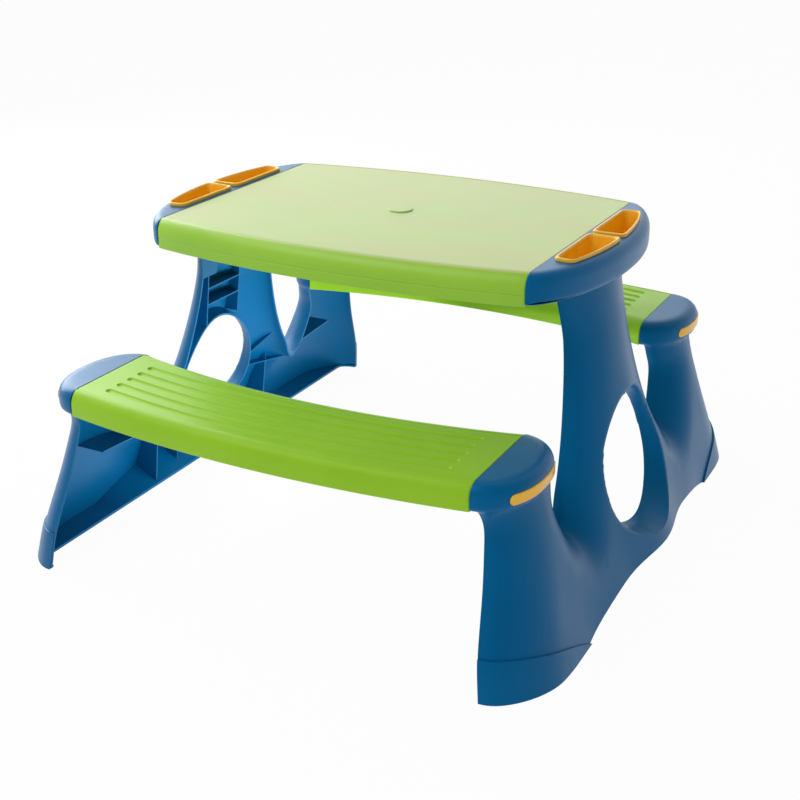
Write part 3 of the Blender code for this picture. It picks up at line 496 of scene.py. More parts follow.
def bulge(half, reach, centre, seam, fullness, count):
    line = []
    for k in range(count + 1):
        turn = -0.5 * math.pi + math.pi * k / count
        line.append((
            seam + reach * max(0.0, math.cos(turn)) ** (2 / fullness[0]),
            centre + half * math.copysign(abs(math.sin(turn)) ** (2 / fullness[1]), turn),
        ))
    return line


def capOutline(side, end):
    f = endFrame
    reach = f["capReach"] - side - end
    return bulge(table["endDepth"] - side, reach, 0.0, table["halfLength"] + end, f["capFullness"], 96)


def seatCapOutline(side, end, plain=False):
    f = endFrame
    shift = 0.0 if plain else 0.5 * side * (bench["roundIn"] / bench["round"] - 1)
    reach = f["seatCapReach"] - side - end
    half = seatEndHalf - side - shift
    return bulge(half, reach, seatEndMid + shift, seatHalf + end, f["seatCapFullness"], 72)


def tailed(outline):
    # runs on past the seam, so that smoothing leaves the cut edge alone
    def longer(side, end):
        line = outline(side, end)
        back = line[0][0] - endFrame["tail"]
        return line + [(back, line[-1][1]), (back, line[0][1])]
    return longer


# Table top

tableCeiling = table["height"] - table["wall"]
seatCeiling = bench["height"] - bench["topWall"]
tableTongue = tableCeiling - (tongue["screwLength"] - gap) - tongue["tableDrop"]
seatTongue = seatCeiling - tongue["seatDrop"] - tongue["wall"]


def screwSpots():
    spots = []
    for sign in (-1, 1):
        for y in tongue["tableY"]:
            spots.append((table["halfLength"] - 0.5 * tongue["length"], sign * y, tableTongue, "table"))
        for k in (-0.5, 0.5):
            y = sign * (seatEndMid + tongue["seatShift"]) + k * tongue["seatSpread"]
            spots.append((seatHalf - 0.5 * tongue["length"], y, seatTongue, "seat"))
    return spots


def addRibs(thing, forms, hollow):
    for form in forms:
        piece = toObject("rib", form)
        combine(piece, addObject("trim", hollow.data.copy()), "INTERSECT")
        combine(thing, piece, "UNION")
    bpy.data.objects.remove(hollow, do_unlink=True)


def addBoss(thing, x, y, low, ceiling, past):
    joinOn(thing, "boss", rod(tongue["bossRadius"], x, y, low, ceiling + bite))
    cutOut(thing, "screwHole", rod(tongue["screwRadius"] + gap, x, y, low - 0.01, ceiling + past))


def cutSlot(thing, seam, y, z, width):
    # where a tongue of the end frame passes, with room all round
    half = 0.5 * width + 2 * gap
    low = (seam - 0.02, y - half, z - 2 * gap)
    cutOut(thing, "slot", block(low, (seam + 0.02, y + half, z + tongue["wall"] + 2 * gap)))


def makeTop():
    t = table
    low, high, radius, wall = underTop, t["height"], t["round"], t["wall"]
    corner = innerShare * radius
    steps = [(wall + corner, wall, tableCeiling), (wall, wall, tableCeiling - corner), (wall, wall, low)]
    steps += [(inset, 0, low + rise) for inset, rise in t["lowerBand"] + t["crease"]]
    steps += upperEdge(radius, t["swell"], high, t["land"])
    top = toObject("tableTop", stackRings(topOutline, steps), topPlastic)
    forms = []
    inside = t["halfLength"] - tongue["length"] - tongue["room"]
    half = 0.5 * t["rib"]
    for k in range(1, t["ribRows"] + 1):
        y = -t["endDepth"] + 2 * t["endDepth"] * k / (t["ribRows"] + 1)
        forms.append(block((-inside, y - half, tableCeiling - t["ribDepth"]), (inside, y + half, high)))
    for k in range(t["ribColumns"]):
        x = -inside + half + (2 * inside - t["rib"]) * k / (t["ribColumns"] - 1)
        forms.append(block((x - half, -0.3, tableCeiling - t["ribDepth"]), (x + half, 0.3, high)))
    hollow = stackRings(topOutline, [
        (wall - bite, wall, low), (wall - bite, wall, tableCeiling - corner + bite),
        (wall + corner - bite, wall, tableCeiling + bite),
    ])
    addRibs(top, forms, toObject("topHollow", hollow))
    for x, y, z, held in screwSpots():
        if held == "table":
            for sign in (-1, 1):
                addBoss(top, sign * x, y, z + tongue["wall"] + gap, tableCeiling, -0.004)
                cutSlot(top, sign * t["halfLength"], y, z, tongue["width"])
    reach = t["poleRadius"] + t["sleeveWall"]
    joinOn(top, "sleeve", rod(reach, 0, 0, tableCeiling - t["sleeveLength"], tableCeiling + bite, 64))
    cutOut(top, "poleHole", rod(t["poleRadius"], 0, 0, 0.4, 0.6, 64))
    for x in (-t["gateX"], t["gateX"]):  # two shallow gate marks
        mark = bmesh.new()
        spot = Matrix.Translation((x, 0.0, t["height"] + t["gateRadius"] - t["gateDepth"]))
        bmesh.ops.create_uvsphere(mark, u_segments=32, v_segments=24, radius=t["gateRadius"], matrix=spot)
        cutOut(top, "gateMark", mark)
    smoothBy(top, 32)
    weighted(top)
    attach(top, "table")
    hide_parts("table_top")


poleCap = {"lip": 0.0025, "lipHeight": 0.0016, "plugDepth": 0.010, "wall": 0.002}


def makePoleCap():
    c = poleCap
    rim = table["poleRadius"] + c["lip"]
    plug = table["poleRadius"] - gap
    z = table["height"] + gap
    top = z + c["lipHeight"]
    profile = [
        (0.0, top), (rim - 0.0060, top), (rim - 0.0012, top), (rim - 0.0006, top - 0.0001),
        (rim - 0.0002, top - 0.0004), (rim, top - 0.0009), (rim, z), (plug, z), (plug, z - c["plugDepth"]),
        (plug - c["wall"], z - c["plugDepth"]), (plug - c["wall"], z - c["wall"]), (0.0, z - c["wall"]),
    ]
    bm = bmesh.new()
    verts = [bm.verts.new((x, 0.0, height)) for x, height in profile]
    for a, b in zip(verts, verts[1:]):
        bm.edges.new((a, b))
    bmesh.ops.spin(
        bm, geom=bm.verts[:] + bm.edges[:], cent=(0, 0, 0), axis=(0, 0, 1),
        angle=2 * math.pi, steps=72, use_merge=True, use_duplicate=False,
    )
    bmesh.ops.remove_doubles(bm, verts=bm.verts, dist=1e-6)
    # in the top's material, so its upper face gets the same painted sheen
    cap = toObject("poleHoleCap", bm, topPlastic)
    smoothBy(cap, 40)
    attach(cap, "parasol_hole_cap")
    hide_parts("parasol_hole_cap")


# Benches

def grooveCutter(share):
    # a round-ended bar that follows the bow of the bench
    b = bench
    half, deep = 0.5 * b["grooveWidth"], b["grooveDepth"]
    radius = (half * half + deep * deep) / (2 * deep)
    reach = seatHalf - b["grooveLand"] - half
    bm = bmesh.new()
    turn = Matrix.Rotation(math.radians(90), 4, "Y")
    bmesh.ops.create_uvsphere(bm, u_segments=28, v_segments=20, radius=radius, matrix=turn)
    everything = bm.verts[:] + bm.edges[:] + bm.faces[:]
    bmesh.ops.bisect_plane(bm, geom=everything, plane_co=(1e-5, 0, 0), plane_no=(1, 0, 0))
    for vert in bm.verts:
        vert.co.x += reach if vert.co.x > 0.5e-5 else -reach
    long = [e for e in bm.edges if abs(e.verts[0].co.x - e.verts[1].co.x) > reach]
    bmesh.ops.subdivide_edges(bm, edges=long, cuts=28)
    for vert in bm.verts:
        inner, outer = seatEdges(vert.co.x)
        vert.co.y += 0.5 * (inner + outer) + 0.5 * (b["roundIn"] - b["round"]) + share
        vert.co.z += b["height"] + radius - deep
    return bm


def makeBench(name, node, sign):
    b = bench
    low, high, radius, wall = underSeat, b["height"], b["round"], b["wall"]
    steps = [(radius, wall, seatCeiling), (wall, wall, seatCeiling - radius), (wall, wall, low)]
    steps += [(inset, 0, low + rise) for inset, rise in b["lowerEdge"]]
    steps += upperEdge(radius, b["swell"], high, b["land"])
    seat = toObject(name, stackRings(seatOutline, steps), greenPlastic)
    forms = []
    inside = seatHalf - tongue["length"] - tongue["room"]
    half = 0.5 * b["rib"]
    for k in range(b["ribCount"]):
        x = -inside + half + (2 * inside - b["rib"]) * k / (b["ribCount"] - 1)
        forms.append(block((x - half, 0.2, seatCeiling - b["ribDepth"]), (x + half, 0.5, high)))
    hollow = stackRings(seatOutline, [
        (wall - bite, wall, low), (wall - bite, wall, seatCeiling - radius + bite),
        (radius - bite, wall, seatCeiling + bite),
    ])
    addRibs(seat, forms, toObject("seatHollow", hollow))
    for x, y, z, held in screwSpots():
        if held == "seat" and y > 0:
            for side in (-1, 1):
                addBoss(seat, side * x, y, z + tongue["wall"] + gap, seatCeiling, 0.002)
    for side in (-1, 1):
        cutSlot(seat, side * seatHalf, seatEndMid + tongue["seatShift"], seatTongue, tongue["seatWidth"])
    for k in range(b["grooveCount"]):
        cutOut(seat, "groove", grooveCutter((k - (b["grooveCount"] - 1) / 2) * b["groovePitch"]))
    if sign < 0:
        seat.data.transform(Matrix.Scale(-1, 4, (0, 1, 0)))
        seat.data.flip_normals()
    smoothBy(seat, 28)
    weighted(seat)
    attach(seat, "table")
    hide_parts(node)


# End frames

def sideLine():
    # from the table down the pillar to the notch, then up to the bench, heights as shares
    f = endFrame
    waist, knee, notch = f["waist"], f["knee"], f["notchY"]
    upper = [
        (0.5 * (f["head"] + waist), 0.90), (waist, 0.77), (waist + 0.003, 0.665), (waist + 0.011, 0.56),
        (waist + 0.023, 0.44), (knee, 0.32), (knee + 0.020, 0.20), (knee + 0.040, 0.105),
        (notch - 0.012, 0.025), (notch, 0.0),
    ]
    lower = [
        (notch + 0.012, 0.045), (notch + 0.030, 0.19), (notch + 0.049, 0.48), (notch + 0.055, 0.66),
        (notch + 0.047, 0.84),
    ]
    points = [(f["head"], underTop + bite)]
    for shares, high in ((upper, underTop), (lower, underSeat)):
        points += [(y, f["notchZ"] + share * (high - f["notchZ"])) for y, share in shares]
    points.append((notch + 0.040, underSeat + bite))
    return spline(points, 5)


def legLine():
    y, top = endFrame["footY"], underSeat
    points = [
        (y - 0.052, top + bite), (y - 0.063, 0.93 * top), (y - 0.066, 0.86 * top), (y - 0.060, 0.76 * top),
        (y - 0.044, 0.56 * top), (y - 0.012, 0.245 * top), (y, 0.0),
    ]
    return spline(points, 7)


def nearest(points, line):
    start = np.array([tuple(p) for p in line[:-1]])
    run = np.array([tuple(p) for p in line[1:]]) - start
    offset = points[:, None, :] - start[None]
    share = np.clip((offset * run).sum(2) / (run * run).sum(1), 0, 1)
    return np.linalg.norm(offset - share[..., None] * run, axis=2).min(1)


def within(points, ring):
    a = np.array([tuple(p) for p in ring])
    b = np.roll(a, -1, axis=0)
    y, z = points[:, :1], points[:, 1:]
    crosses = (a[:, 1] > z) != (b[:, 1] > z)
    rise = np.where(a[:, 1] == b[:, 1], 1.0, b[:, 1] - a[:, 1])
    return (crosses & (y < a[:, 0] + (z - a[:, 1]) / rise * (b[:, 0] - a[:, 0]))).sum(1) % 2 == 1


def rounding(distance, radius):
    share = np.clip(distance / radius, 0, 1)
    return (1 - (1 - share) ** endFrame["fullness"]) ** (1 / endFrame["fullness"])


def plateForm(inset, back, floor, low=0.0, lift=0.0):
    # the frame's outline, filled out to its rounded face
    f = endFrame
    side, leg = pushed(sideLine(), -inset), pushed(legLine(), -inset)
    leg[-1].y = low
    for point in (side[0], side[-1], leg[0]):
        point.y += lift
    base = [Vector((halfArch * math.sin(math.pi * (20 - k) / 40), low)) for k in range(41)]
    half = side + straight(side[-1], leg[0], 22) + leg + straight(leg[-1], base[0], 26, 1.8)
    ring = half + base + [Vector((-p.x, p.y)) for p in reversed(half)]
    ring += straight(ring[-1], ring[0], 30)
    points, depths = [], []
    rows = (0.0010, 0.0028, 0.0055, 0.009, 0.0135, 0.019, 0.0255, 0.033, 0.041, 0.050)
    for line, reach in ((side, 1.0), (leg, 1.5)):  # rows of points, closer near the edge
        for depth in rows:
            points += [(p.x, p.y) for p in pushed(line, -reach * depth)]
            depths += [depth] * len(line)
    ringed = len(points)
    step = 0.010
    points += [(step * j, 0.004 + step * k) for j in range(49) for k in range(-1, 48)]
    points = np.array(points)
    toSide, toLeg = nearest(points, side), nearest(points, leg)
    near = np.minimum(toSide, toLeg / 1.5)
    keep = within(points, half + base[:21] + [Vector((-0.001, low)), Vector((-0.001, 0.6))])
    keep[:ringed] &= near[:ringed] > 0.85 * np.array(depths)
    keep[ringed:] &= near[ringed:] > 0.056
    keep &= nearest(points, [leg[-1], base[-1]]) > 0.0022
    keep &= nearest(points, [side[0], Vector((0, side[0].y))]) > 0.003
    keep &= nearest(points, [side[-1], leg[0]]) > 0.003
    rises = np.array([archZ(y) for y in points[:, 0]])
    keep &= (rises == 0) | (points[:, 1] > low + rises + 0.004)
    cells = {}
    for point in points[keep]:  # one point in each 2 mm cell
        cells.setdefault((round(point[0] / 0.002), round(point[1] / 0.002)), tuple(point))
    inner = [Vector(p) for p in cells.values()]
    inner += [Vector((-p.x, p.y)) for p in inner if p.x > 1e-4]
    edges = [(k, (k + 1) % len(ring)) for k in range(len(ring))]
    crease = [Vector((p.x, low + archZ(p.x))) for p in base[1:-1]]
    start = len(ring) + len(inner)
    ends = [len(half)] + [start + k for k in range(len(crease))] + [len(half) + len(base) - 1]
    edges += list(zip(ends, ends[1:]))
    flat, _, faces, _, _, _ = delaunay_2d_cdt(ring + inner + crease, edges, [], 1, 1e-7)
    spots = np.array([(abs(p.x), p.y) for p in flat])
    rise = rounding(nearest(spots, side), f["sideRound"] - inset)
    rise = rise * rounding(nearest(spots, leg), f["legRound"] - inset)
    bm = bmesh.new()
    tops, lows = [], []
    for spot, share in zip(flat, rise):
        x0 = openX(spot.y)
        top = x0 + (faceX(spot.x, spot.y) + back - x0) * share
        slope = archZ(spot.x)
        if spot.y < low + slope - 5e-6 and top > f["soleEdge"]:
            top = f["soleEdge"] + (top - f["soleEdge"]) * (spot.y - low) / slope
        bottom = floor(x0, top)
        tops.append(bm.verts.new((max(top, bottom), spot.x, spot.y)))
        lows.append(tops[-1] if top - bottom < 1e-6 else bm.verts.new((bottom, spot.x, spot.y)))
    used = set()
    for face in faces:
        if all(tops[k] is lows[k] for k in face):
            continue
        bm.faces.new([tops[k] for k in face])
        bm.faces.new([lows[k] for k in reversed(face)])
        used.update(zip(face, face[1:] + face[:1]))
    for a, b in used:
        if (b, a) not in used:
            corners = []
            for vert in (tops[b], tops[a], lows[a], lows[b]):
                if vert not in corners:
                    corners.append(vert)
            if len(corners) > 2:
                bm.faces.new(corners)
    bmesh.ops.delete(bm, geom=[v for v in bm.verts if not v.link_faces], context="VERTS")
    return bm


def soleOpening():
    f = endFrame
    edge = 1.6 * f["wall"]  # the rim that is left round the sole
    reach = f["footY"] - edge
    x0 = openX(0)
    outer = []
    for k in range(33):
        far = reach * (1 - (k / 32) ** 1.6)
        share = float(rounding(reach - far, f["legRound"] - f["wall"]))
        deep = f["legFloor"] - crown(far) - edge - x0
        outer.append((min(f["soleEdge"], x0 + deep * share), far))
    line = [(x0 - 0.015, reach)] + outer + [(x, -y) for x, y in reversed(outer[:-1])] + [(x0 - 0.015, -reach)]
    return extruded([(x, y, -0.012) for x, y in line], (0, 0, 0.012 + 1.5 * f["wall"]))


def holePlug(grow, start, stop):
    # tapered along the lip, start and stop are shares of the frame's depth
    knee = 1 - hole["lipDepth"]
    shares = [start] + [share for share in (knee, 1.0) if start < share < stop] + [stop]
    bm = bmesh.new()
    rings = []
    for share in shares:
        wide = grow + hole["taper"] * (min(max(share, knee), 1) - 1)
        ring = []
        for k in range(96):
            turn = 2 * math.pi * k / 96
            up = math.cos(turn)
            tall = hole["top"] - hole["widest"] if up > 0 else hole["widest"] - hole["bottom"]
            y = (hole["halfWidth"] + wide) * math.sin(turn) * (1 - hole["narrowing"] * max(0.0, up) ** 2)
            z = hole["widest"] + (tall + wide) * up
            x0 = openX(z)
            ring.append(bm.verts.new((x0 + share * (faceX(y, z) - x0), y, z)))
        rings.append(ring)
    bandFaces(bm, rings)
    bmesh.ops.poke(bm, faces=[bm.faces.new(rings[0]), bm.faces.new(rings[-1])])
    return bm


def ribForm(a, b, near, far):
    run = Vector(b) - Vector(a)
    across = 0.5 * ribs["wall"] * Vector((-run.y, run.x)).normalized()
    corners = [Vector(a) + across, Vector(a) - across, Vector(b) - across, Vector(b) + across]
    bm = bmesh.new()
    front = bm.faces.new([
        bm.verts.new((openX(p.y) + back, p.x, p.y)) for p, back in zip(corners, (near, near, far, far))
    ])
    grown = bmesh.ops.extrude_discrete_faces(bm, faces=[front])["faces"][0]
    for vert in grown.verts:
        vert.co.x = 0.50
    bmesh.ops.holes_fill(bm, edges=bm.edges)
    return bm


def boxFront(sign):
    high = (ribs["wall"], sign * (endFrame["head"] + 0.010), underTop + 0.002)
    bm = block((0, sign * ribs["uprightY"], ribs["boxZ"]), high)
    for vert in bm.verts:
        vert.co.x += openX(vert.co.z) + ribs["boxBack"]
    return bm


def frameRibs():
    r, f = ribs, endFrame
    forms = [boxFront(-1), boxFront(1)]
    across, back = r["uprightY"] + bite, r["ledgeBack"]
    for z in (r["ledgeZ"], r["ledgeZ"] - r["ledgeStep"]):
        forms.append(ribForm((-across, z), (across, z), back, back))
    for sign in (-1, 1):
        y = sign * r["uprightY"]
        forms.append(ribForm((y, hole["top"] - 0.010), (y, underTop + 0.002), back, back))
        holeSide = sign * (hole["halfWidth"] + 0.0005)
        for z, y, rise in r["gussets"]:
            start, stop = (holeSide, hole["widest"] + z), (sign * (f["notchY"] + y), f["notchZ"] + rise)
            forms.append(ribForm(start, stop, r["holeGussetBack"], r["gussetBack"]))
        (y0, z0), (y1, z1) = r["legGusset"]
        start = (sign * (f["notchY"] + y0), f["notchZ"] + z0)
        stop = (sign * (f["footY"] + y1), f["notchZ"] + z1)
        forms.append(ribForm(start, stop, r["gussetBack"], r["gussetBack"]))
        for y, webBack in zip(r["webY"], r["webBack"]):
            top = r["webTop"] + y * r["webLean"]
            forms.append(ribForm((sign * y, -0.001), (sign * y, top), webBack, webBack))
    return forms


def collarZone(sign):
    f = endFrame
    far, length = f["footY"] + 0.02, f["footLength"] + 0.02
    line = [(far, -0.01)]
    for share in [k / 32 for k in range(33)]:
        line.append((far - length * share, f["collarHeight"] * (1 - share ** 1.8) + 0.0005))
    line.append((f["footY"] - f["footLength"], -0.01))
    return extruded([(0.25, sign * y, z) for y, z in line], (0.30, 0, 0))


def openSide(y0, y1, profile):
    # what lies inside the frame's open side and the caps' seams
    line = [(0.20, profile[0][1])] + profile + [(0.20, profile[-1][1])]
    return extruded([(x, y0, z) for x, z in line], (0, y1 - y0, 0))


def softened(thing):
    # one even skin with soft junctions, that runs out into the exact form at the feet and the arch
    f = endFrame
    lower = addObject("lower", thing.data.copy())
    bm = bmesh.new()
    bm.from_mesh(thing.data)
    exact = BVHTree.FromBMesh(bm)
    bm.free()
    step = thing.modifiers.new("remesh", "REMESH")
    step.mode = "VOXEL"
    step.voxel_size = f["voxel"]
    applyModifiers(thing)
    bm = bmesh.new()
    bm.from_mesh(thing.data)
    for _ in range(f["softening"]):
        bmesh.ops.smooth_vert(
            bm, verts=bm.verts, factor=0.5, use_axis_x=True, use_axis_y=True, use_axis_z=True
        )
    split = f["collarHeight"] + f["joint"]
    for vert in bm.verts:
        share = eased((split + f["blendEnd"] - vert.co.z) / f["blendRun"])
        if share > 0:
            vert.co = vert.co.lerp(exact.find_nearest(vert.co)[0], share)
    bm.to_mesh(thing.data)
    bm.free()
    combine(thing, toObject("above", block((0, -0.6, split), (0.6, 0.6, 0.6))), "INTERSECT")
    combine(lower, toObject("below", block((0, -0.6, -0.1), (0.6, 0.6, split + 0.0004))), "INTERSECT")
    combine(thing, lower, "UNION")


def capSteps(under, edge, height, bottom):
    return quarter(bottom, under, under, 5, under=True) + quarter(height, edge, edge, 12)


def capHollow(wall, edge, height, bottom):
    steps = [(wall, wall, bottom + wall), (wall, wall, height - wall - innerShare * edge)]
    return steps + [(wall + innerShare * edge, wall, height - wall)]


def trayOutline(grow):
    t = tray
    inner = table["halfLength"] + t["seamLand"]
    near, far = t["middleLand"], t["reach"]

    def bow(y):
        out, across = endFrame["capFullness"]
        share = max(0.0, 1 - (y / table["endDepth"]) ** across)
        return table["halfLength"] + endFrame["capReach"] * share ** (1 / out) - t["margin"]

    raw = [(inner, near)]
    raw += [(bow(near + (far - near) * k / 14), near + (far - near) * k / 14) for k in range(15)]
    raw += [(inner, far - 0.004)]
    points = [Vector(p) for p in raw]
    line = []
    for k, point in enumerate(points):
        before = points[k - 1] - point
        after = points[(k + 1) % len(points)] - point
        if before.angle(after) > math.radians(155):
            line.append(point)
            continue
        a, b = [
            point + way.normalized() * min(t["corner"], 0.45 * way.length if way.length > 0.02 else 1)
            for way in (before, after)
        ]
        for j in range(11):
            s = j / 10
            line.append((1 - s) ** 2 * a + 2 * s * (1 - s) * point + s * s * b)
    # keep only points that go on round the outline
    clean = [line[0]]
    for point in line[1:]:
        if (point - clean[-1]).length > 0.0004:
            clean.append(point)
    xs, ys = [p.x for p in clean], [p.y for p in clean]
    middle = Vector((0.5 * (min(xs) + max(xs)), 0.5 * (min(ys) + max(ys))))
    half = Vector((0.5 * (max(xs) - min(xs)), 0.5 * (max(ys) - min(ys))))
    wide, deep = (half.x + grow) / half.x, (half.y + grow) / half.y
    return [(middle.x + (p.x - middle.x) * wide, middle.y + (p.y - middle.y) * deep) for p in clean]


def stripForm(grow, outward, inward):
    # a round-ended band round the outer side of a bench cap
    s = strip
    middle = underSeat + s["bottom"] + 0.5 * s["height"]
    half = 0.5 * s["height"] + grow
    outer = [Vector(p) for p in seatCapOutline(-outward, 0, plain=True)]
    inner = [Vector(p) for p in seatCapOutline(inward, 0, plain=True)]
    top = max(range(len(outer)), key=lambda k: outer[k].x)
    runs = [0.0]
    for a, b in zip(outer, outer[1:]):
        runs.append(runs[-1] + (b - a).length)
    runs = [r - runs[top] for r in runs]
    near, far = -s["innerRun"] - grow, s["outerRun"] + grow

    def at(line, run):
        k = max(k for k in range(len(runs) - 1) if runs[k] <= run)
        return line[k].lerp(line[k + 1], (run - runs[k]) / (runs[k + 1] - runs[k]))

    turns = [math.pi * k / 16 for k in range(1, 8)]
    marks = [near + half - half * math.cos(t) for t in turns]
    marks += [near + half + (far - near - 2 * half) * k / 40 for k in range(41)]
    marks += [far - half + half * math.cos(t) for t in reversed(turns)]
    bm = bmesh.new()
    rings = []
    for run in marks:
        over = max(0.0, near + half - run, run - far + half) / half
        tall = half * math.sqrt(max(0.0, 1 - over * over))
        a, b = at(outer, run), at(inner, run)
        edge = a.lerp(b, 0.45 if outward < 0.003 else 0.0)
        ring = [(*b, middle - tall), (*edge, middle - tall)]
        ring += [(*a, middle - 0.86 * tall), (*a, middle + 0.86 * tall)]
        ring += [(*edge, middle + tall), (*b, middle + tall)]
        rings.append([bm.verts.new(v) for v in ring])
    bandFaces(bm, rings)
    bm.faces.new(rings[0])
    bm.faces.new(rings[-1])
    return bm


def addTongue(thing, seam, y, z, width):
    low = (seam - tongue["length"], y - 0.5 * width, z)
    high = (seam + endFrame["capShell"] - bite, y + 0.5 * width, z + tongue["wall"])
    joinOn(thing, "tongue", block(low, high))


def makeEndFrames():
    f = endFrame
    wall, shell = f["wall"], f["capShell"]
    body = toObject("rightEndFrame", plateForm(0.0, 0.0, lambda x0, _: x0 - f["tail"]), bluePlastic)
    steps = capSteps(f["capUnder"], f["capRound"], table["height"], underTop)
    joinOn(body, "tableCap", stackRings(tailed(capOutline), steps))
    steps = capSteps(f["seatCapUnder"], f["seatCapRound"], bench["height"], underSeat)
    for sign in (-1, 1):
        joinOn(body, "seatCap", mirrored(stackRings(tailed(seatCapOutline), steps), y=sign))
    cutOut(body, "hole", holePlug(0.0, -0.9, 1.6))
    softened(body)
    print("outer form", len(body.data.polygons))
    seam, seatSeam = table["halfLength"] + gap, seatHalf + gap
    foot = (openX(-0.02), -0.02)
    pillar = [foot, (openX(underTop), underTop), (seam, underTop + 0.0001), (seam, 0.6)]
    legs = [foot, (openX(underSeat), underSeat), (seatSeam, underSeat + 0.0001), (seatSeam, 0.40)]
    past = f["legSplit"] + 0.0001
    cutOut(body, "openMiddle", openSide(-past, past, pillar))
    for sign in (-1, 1):
        cutOut(body, "openLeg", openSide(*sorted((sign * f["legSplit"], sign * 0.6)), legs))
        collar = toObject("collar", plateForm(-f["collarStep"], f["collarStep"], lambda x0, _: x0 + 2 * gap))
        combine(collar, toObject("collarZone", collarZone(sign)), "INTERSECT")
        combine(body, collar, "UNION")
    core = toObject("core", plateForm(wall, -wall, lambda x0, _: x0 - 0.01, 1.1 * wall, shell))
    joinOn(core, "soleOpening", soleOpening())
    steps = capHollow(shell, f["capRound"], table["height"], underTop)
    joinOn(core, "capHollow", stackRings(capOutline, steps))
    steps = capHollow(shell, f["seatCapRound"], bench["height"], underSeat)
    for sign in (-1, 1):
        joinOn(core, "seatCapHollow", mirrored(stackRings(seatCapOutline, steps), y=sign))
    cutOut(core, "holeLip", holePlug(wall, 1 - hole["lipDepth"], 1.3))
    combine(body, core, "DIFFERENCE")
    print("shell open", len(body.data.polygons))

    trim = toObject("trim", plateForm(0.5 * wall, -0.5 * wall, lambda x0, _: x0 + 0.004, 0.5 * wall))
    cutOut(trim, "clear", holePlug(0.5 * wall, -0.9, 1.6))
    addRibs(body, frameRibs(), trim)
    for sign in (-1, 1):
        for y in tongue["tableY"]:
            addTongue(body, table["halfLength"], sign * y, tableTongue, tongue["width"])
        addTongue(body, seatHalf, sign * (seatEndMid + tongue["seatShift"]), seatTongue, tongue["seatWidth"])
    for x, y, z, _ in screwSpots():
        cutOut(body, "screwHole", rod(tongue["screwRadius"] + gap, x, y, z - 0.01, z + 0.01))
    t = tray
    for sign in (-1, 1):
        high, grow = table["height"], fits["slip"] - t["seat"]
        opening = stackRings(lambda grow, _: trayOutline(grow), [
            (grow - t["taper"], 0, high - t["depth"]), (grow, 0, high), (grow, 0, high + 0.01),
        ])
        cutOut(body, "trayOpening", mirrored(opening, y=sign))
        cutOut(body, "stripRecess", mirrored(stripForm(gap, 0.004, strip["sink"] + gap), y=sign))
    smoothBy(body, 38)
    other = addObject("leftEndFrame", body.data.copy())
    other.data.transform(Matrix.Scale(-1, 4, (1, 0, 0)))
    other.data.flip_normals()
    for piece, node in ((body, "right_end_frame"), (other, "left_end_frame")):
        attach(piece, "table")
        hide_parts(node)
    print("end frames", len(body.data.polygons))


def makeTrays():
    t = tray
    z = table["height"] + gap
    floor = z - t["depth"]
    w, h = t["rimWidth"], t["rimHeight"]
    inside = -t["seat"] - t["taper"] - t["wall"]
    steps = [
        (inside - 0.0045, 0, floor + t["wall"]), (inside - 0.0012, 0, floor + t["wall"] + 0.0010),
        (inside, 0, floor + t["wall"] + 0.0040), (-w - 0.0010, 0, z + 0.30 * h), (-w, 0, z + 0.70 * h),
    ]
    for turn in (0.4, 0.8, 1.2, 1.57, 1.94, 2.34, 2.74):  # over the rounded rim
        steps.append((-w * (0.5 + 0.5 * math.cos(turn)), 0, z + h * (0.70 + 0.30 * math.sin(turn))))
    steps += [
        (0.0, 0, z + 0.66 * h), (0.0, 0, z), (-t["seat"], 0, z),
        (-t["seat"] - t["taper"], 0, floor + 0.003), (-t["seat"] - t["taper"] - 0.002, 0, floor),
    ]
    for x, side in ((-1, "left"), (1, "right")):
        for y, end in ((-1, "front"), (1, "back")):
            bm = stackRings(lambda grow, _: trayOutline(grow), steps)
            piece = toObject(f"{end}{side.title()}Tray", mirrored(bm, x, y), orangePlastic)
            smoothBy(piece, 42)
            weighted(piece)
            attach(piece, f"{end}_{side}_tray")
            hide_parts(f"{end}_{side}_tray")


def makeStrips():
    for x, side in ((-1, "left"), (1, "right")):
        for y, end in ((-1, "front"), (1, "back")):
            bm = stripForm(0.0, strip["proud"], strip["sink"])
            piece = toObject(f"{end}{side.title()}Strip", mirrored(bm, x, y), orangePlastic)
            smoothBy(piece, 40)
            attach(piece, "table")
            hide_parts(f"{end}_{side}_strip")


makeTop()
makePoleCap()
print("table top")
makeBench("frontBench", "front_bench", -1)
makeBench("backBench", "back_bench", 1)
print("benches")
makeEndFrames()
makeTrays()
makeStrips()
for name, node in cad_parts.items():
    if "screw" in name:
        node.data.materials.clear()
        node.data.materials.append(screwSteel)
print("trays, strips and screws")


# Studio

studio = {
    "world": 0.30, "backdrop": 1.0, "floorColour": (0.80, 0.80, 0.80), "floorWhite": 0.97, "floorGlow": 0.85,
    "fillHeight": 0.15, "fillSpread": 110,
    # azimuth and elevation as seen from the object, distance, width, height, power
    "keyLight": (-108, 24, 3.2, 2.2, 2.2, 78), "frontLight": (-30, 50, 3.2, 2.4, 2.0, 42),
    "sheenLight": (180 + 28.3, 19, 3.2, 2.6, 1.8, 13),
    "leftFill": (-90, 4, -0.02, 0.60, 0.12, 1.2), "rightFill": (90, 4, -0.02, 0.60, 0.12, 0.5),
}
camera = {
    "place": (0.931, -1.736, 1.025), "yaw": 28.29, "pitch": 23.34, "roll": -0.38, "lens": 57.9,
}


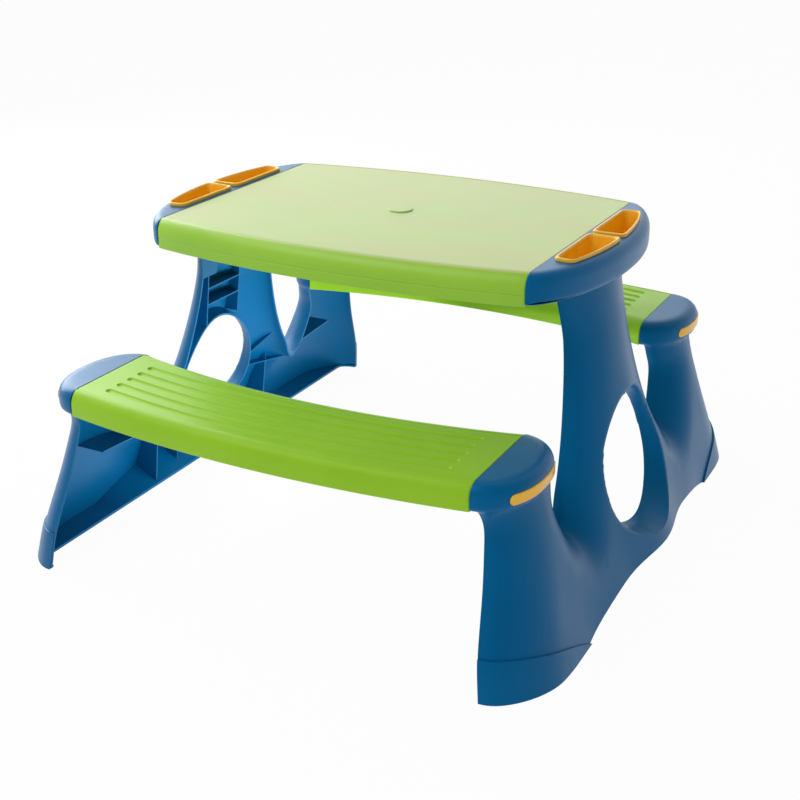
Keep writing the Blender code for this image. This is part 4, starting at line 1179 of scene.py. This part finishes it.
def seenRays(tree):
    # 1 for what the camera sees, directly, in a gloss or through something clear
    path = addNode(tree, "ShaderNodeLightPath")
    both = addNode(tree, "ShaderNodeMath", operation="MAXIMUM")
    every = addNode(tree, "ShaderNodeMath", operation="MAXIMUM")
    link = tree.links.new
    link(path.outputs["Is Camera Ray"], both.inputs[0])
    link(path.outputs["Is Glossy Ray"], both.inputs[1])
    link(both.outputs[0], every.inputs[0])
    link(path.outputs["Is Transmission Ray"], every.inputs[1])
    return every.outputs[0]


def makeWorld():
    world = bpy.data.worlds.new("studio")
    bpy.context.scene.world = world
    world.use_nodes = True
    tree = world.node_tree
    tree.nodes.clear()
    out = addNode(tree, "ShaderNodeOutputWorld")
    soft = addNode(tree, "ShaderNodeBackground", {"Color": (1, 1, 1, 1), "Strength": studio["world"]})
    white = addNode(tree, "ShaderNodeBackground", {"Color": (1, 1, 1, 1), "Strength": studio["backdrop"]})
    pick = addNode(tree, "ShaderNodeMixShader")
    link = tree.links.new
    link(seenRays(tree), pick.inputs["Fac"])
    link(soft.outputs[0], pick.inputs[1])
    link(white.outputs[0], pick.inputs[2])
    link(pick.outputs[0], out.inputs["Surface"])


def areaLight(name):
    azimuth, elevation, distance, width, height, power = studio[name]
    lamp = bpy.data.lights.new(name, "AREA")
    lamp.energy = power
    lamp.shape = "RECTANGLE"
    lamp.size, lamp.size_y = width, height
    made = addObject(name, lamp)
    a, e = math.radians(azimuth), math.radians(elevation)
    away = Vector((math.sin(a) * math.cos(e), -math.cos(a) * math.cos(e), math.sin(e)))
    made.location = Vector((0, 0, 0.35)) + distance * away
    if "Fill" in name:  # under the table, towards the inner side of each end frame
        made.location.z = studio["fillHeight"]
        lamp.spread = math.radians(studio["fillSpread"])
        away = -away
    made.rotation_euler = away.to_track_quat("Z", "Y").to_euler()
    made.visible_camera = False


def makeFloor():
    bm = bmesh.new()
    bmesh.ops.create_grid(bm, x_segments=2, y_segments=2, size=30.0)
    floor = toObject("studioFloor", bm)
    made, tree, link = newMaterial("paleFloor")
    tree.nodes.clear()
    out = addNode(tree, "ShaderNodeOutputMaterial")
    paper = addNode(tree, "ShaderNodeBsdfDiffuse", {"Color": (*studio["floorColour"], 1)})
    glow = addNode(tree, "ShaderNodeEmission", {"Strength": 1.0})
    mix = addNode(tree, "ShaderNodeMixShader")
    # a lit white floor, nearly pure white where it is seen
    white = addNode(
        tree, "ShaderNodeMapRange", {"To Min": studio["floorGlow"], "To Max": studio["floorWhite"]}
    )
    link(seenRays(tree), white.inputs["Value"])
    link(white.outputs["Result"], mix.inputs["Fac"])
    link(paper.outputs[0], mix.inputs[1])
    link(glow.outputs[0], mix.inputs[2])
    link(mix.outputs[0], out.inputs["Surface"])
    floor.data.materials.append(made)
    floor.location.z = -0.0005


def makeCamera():
    lens = bpy.data.cameras.new("photoCamera")
    lens.lens = camera["lens"]
    lens.sensor_width = 36
    made = addObject("photoCamera", lens)
    turn = Matrix.Rotation(math.radians(camera["yaw"]), 4, "Z")
    turn = turn @ Matrix.Rotation(math.radians(90 - camera["pitch"]), 4, "X")
    turn = turn @ Matrix.Rotation(math.radians(camera["roll"]), 4, "Z")
    made.matrix_world = Matrix.Translation(camera["place"]) @ turn
    bpy.context.scene.camera = made


makeWorld()
for name in ("keyLight", "frontLight", "sheenLight", "leftFill", "rightFill"):
    areaLight(name)
makeFloor()
makeCamera()
bpy.context.scene.view_settings.view_transform = "Standard"
print("studio ready")
